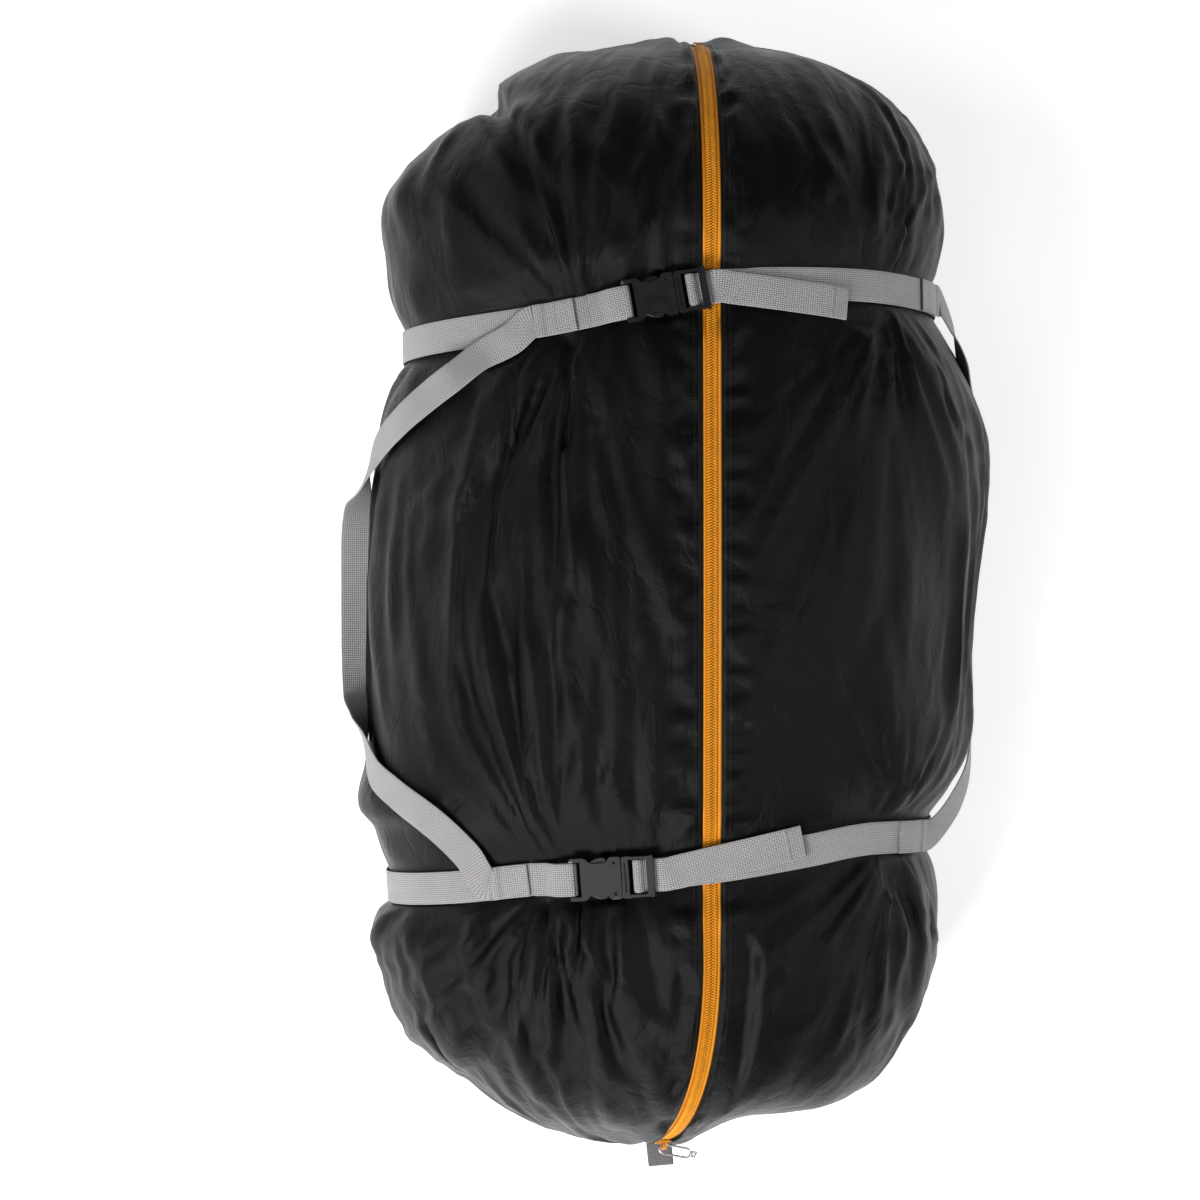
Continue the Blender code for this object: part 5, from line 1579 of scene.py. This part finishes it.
def stack(name, node, body_cloth, slot_name, layers, seed):
    """A folded stack of cloth: soft rounded layers that bulge between the folds at its sides."""
    low, high = (np.array(corner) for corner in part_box(node))
    middle, half = (low + high) / 2, (high - low) / 2
    rows, sides = 60, 96
    points, uvs = [], []
    for s in np.linspace(-1, 1, rows):
        taper = (1 - abs(s) ** 6) ** 0.35 if abs(s) < 1 else 0.02
        for a in np.linspace(0, 2 * math.pi, sides, endpoint=False):
            c, d = math.cos(a), math.sin(a)
            x, z = np.sign(c) * abs(c) ** 0.45, np.sign(d) * abs(d) ** 0.45
            fold = 0.965 + 0.03 * abs(math.sin(z * layers * math.pi / 2)) * abs(x)
            sag = 1 - 0.03 * noise.noise(Vector((x * 2, s * 3, z * 2 + seed)))
            scale = np.array([half[0] * (0.9 + 0.1 * taper) * fold * sag, half[1],
                              half[2] * max(taper, 0.05) * fold * sag])
            points.append(middle + np.array([x, s * (0.96 + 0.03 * abs(math.sin(z * layers))), z]) * scale)
            uvs.append((half[0] * a, half[1] * s))
    obj = skin(name, np.array(points).reshape(rows, sides, 3), body_cloth, np.array(uvs))
    placed(obj, "bag", slot_name, node)


def rolled_strap(word):
    """A tree strap rolled flat: webbing wound from the middle out."""
    node = f"tree_strap_roll_{word}"
    low, high = (np.array(corner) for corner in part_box(node))
    middle, radius, width = (low + high) / 2, (high - low)[0] / 2, (high - low)[2]
    turns, points_per_turn = 16, 40
    angles = np.linspace(0, turns * 2 * math.pi, turns * points_per_turn)
    reach = 0.006 + (radius - 0.0072) * angles / angles[-1]
    centres = np.stack([middle[0] + reach * np.cos(angles), middle[1] + reach * np.sin(angles),
                        np.full_like(angles, middle[2])], 1)
    across = np.tile([0.0, 0.0, 1.0], (len(angles), 1))
    along = unit(np.gradient(centres, axis=0))
    half, thick = width / 2, 0.75 * MM
    flat = half - 0.4 * MM
    profile = np.array([(-half, 0), (-flat, thick), (0, thick), (flat, thick),
                        (half, 0), (flat, -thick), (0, -thick), (-flat, -thick)])
    roll = swept(f"tree_strap_{word}_webbing", profile, centres, across, np.cross(along, across),
                 TREE_WEBBING, strip_uvs(centres, profile))
    placed(roll, "bag", "tree_webbing", node)


def carabiners():
    """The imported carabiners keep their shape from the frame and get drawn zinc."""
    for word in ("left", "right"):
        node = frame["nodes"][f"carabiner_{word}"]
        node.data.materials.clear()
        node.data.materials.append(ZINC)


# ---------------------------------------------------------------- the studio

def floor():
    shader = Shader("pale_floor", (0.93, 0.93, 0.93), 0.65)
    colour = shader.mottled(shader.coordinates("Object"), 3.0, 3.0, (0.92, 0.92, 0.92), (0.94, 0.94, 0.94))
    finish = shader.finish(Base_Color=colour, Emission_Color=colour, Emission_Strength=0.55)
    size = 4.0
    obj = mesh_object("floor", [(-size, -size, 0), (size, -size, 0), (size, size, 0), (-size, size, 0)],
                      [[0, 1, 2, 3]], finish)
    obj.location.z = -0.5 * MM


def soft_light(name, place, target, size, watts):
    data = bpy.data.lights.new(name, "AREA")
    data.shape = "RECTANGLE"
    data.size, data.size_y = size
    data.energy = watts
    obj = linked(name, data)
    obj.location = place
    obj.rotation_euler = (Vector(target) - Vector(place)).to_track_quat("-Z", "Y").to_euler()


def studio():
    floor()
    world = bpy.data.worlds.new("studio")
    bpy.context.scene.world = world
    world.use_nodes = True
    background = world.node_tree.nodes["Background"]
    background.inputs["Color"].default_value = (1.0, 1.0, 1.0, 1)
    background.inputs["Strength"].default_value = 0.18
    soft_light("key", (-1.15, -1.50, 1.75), (-0.05, -0.1, 0.2), (0.9, 0.9), 62)
    soft_light("overhead", (-0.62, -0.42, 2.4), (-0.05, -0.2, 0.3), (0.40, 0.40), 3.0)
    soft_light("left_panel", (-1.9, 0.5, 1.3), (0, 0, 0.15), (0.6, 1.8), 12)
    soft_light("right_panel", (1.8, -0.3, 1.5), (0, 0, 0.15), (0.5, 1.6), 22)
    data = bpy.data.cameras.new("camera")
    data.lens = 92.9
    data.sensor_width = 36
    camera = linked("camera", data)
    camera.location = (-0.060, -0.006, 2.6)
    bpy.context.scene.camera = camera
    bpy.context.scene.view_settings.view_transform = "Standard"


def clear_defaults():
    """Removes the cube, lamp and camera of a new file, which aren't the frame's."""
    for obj in list(bpy.data.objects):
        if obj.name in ("Cube", "Light", "Camera"):
            bpy.data.objects.remove(obj)


clear_defaults()
CLOTH = bag_cloth()
facing_stitches(CLOTH)
zip_tapes()
coils()
puller(slider())
zip_stops()
end_tab()
for word, (at, matrix, tail_end) in BUCKLES.items():
    strap_pieces(word, at, matrix, tail_end)
    socket(word, matrix)
    plug(word, matrix)
    prongs(word, matrix)
for word, line in HANDLES.items():
    handle_pieces(word, *line)
stack("hammock_bed_stack", "hammock_bed_folded", BED_CLOTH, "hammock_cloth", 6, 1.0)
stack("rain_fly_stack", "rain_fly_folded", FLY_CLOTH, "fly_cloth", 5, 5.0)
for word in ("left", "right"):
    rolled_strap(word)
carabiners()
studio()
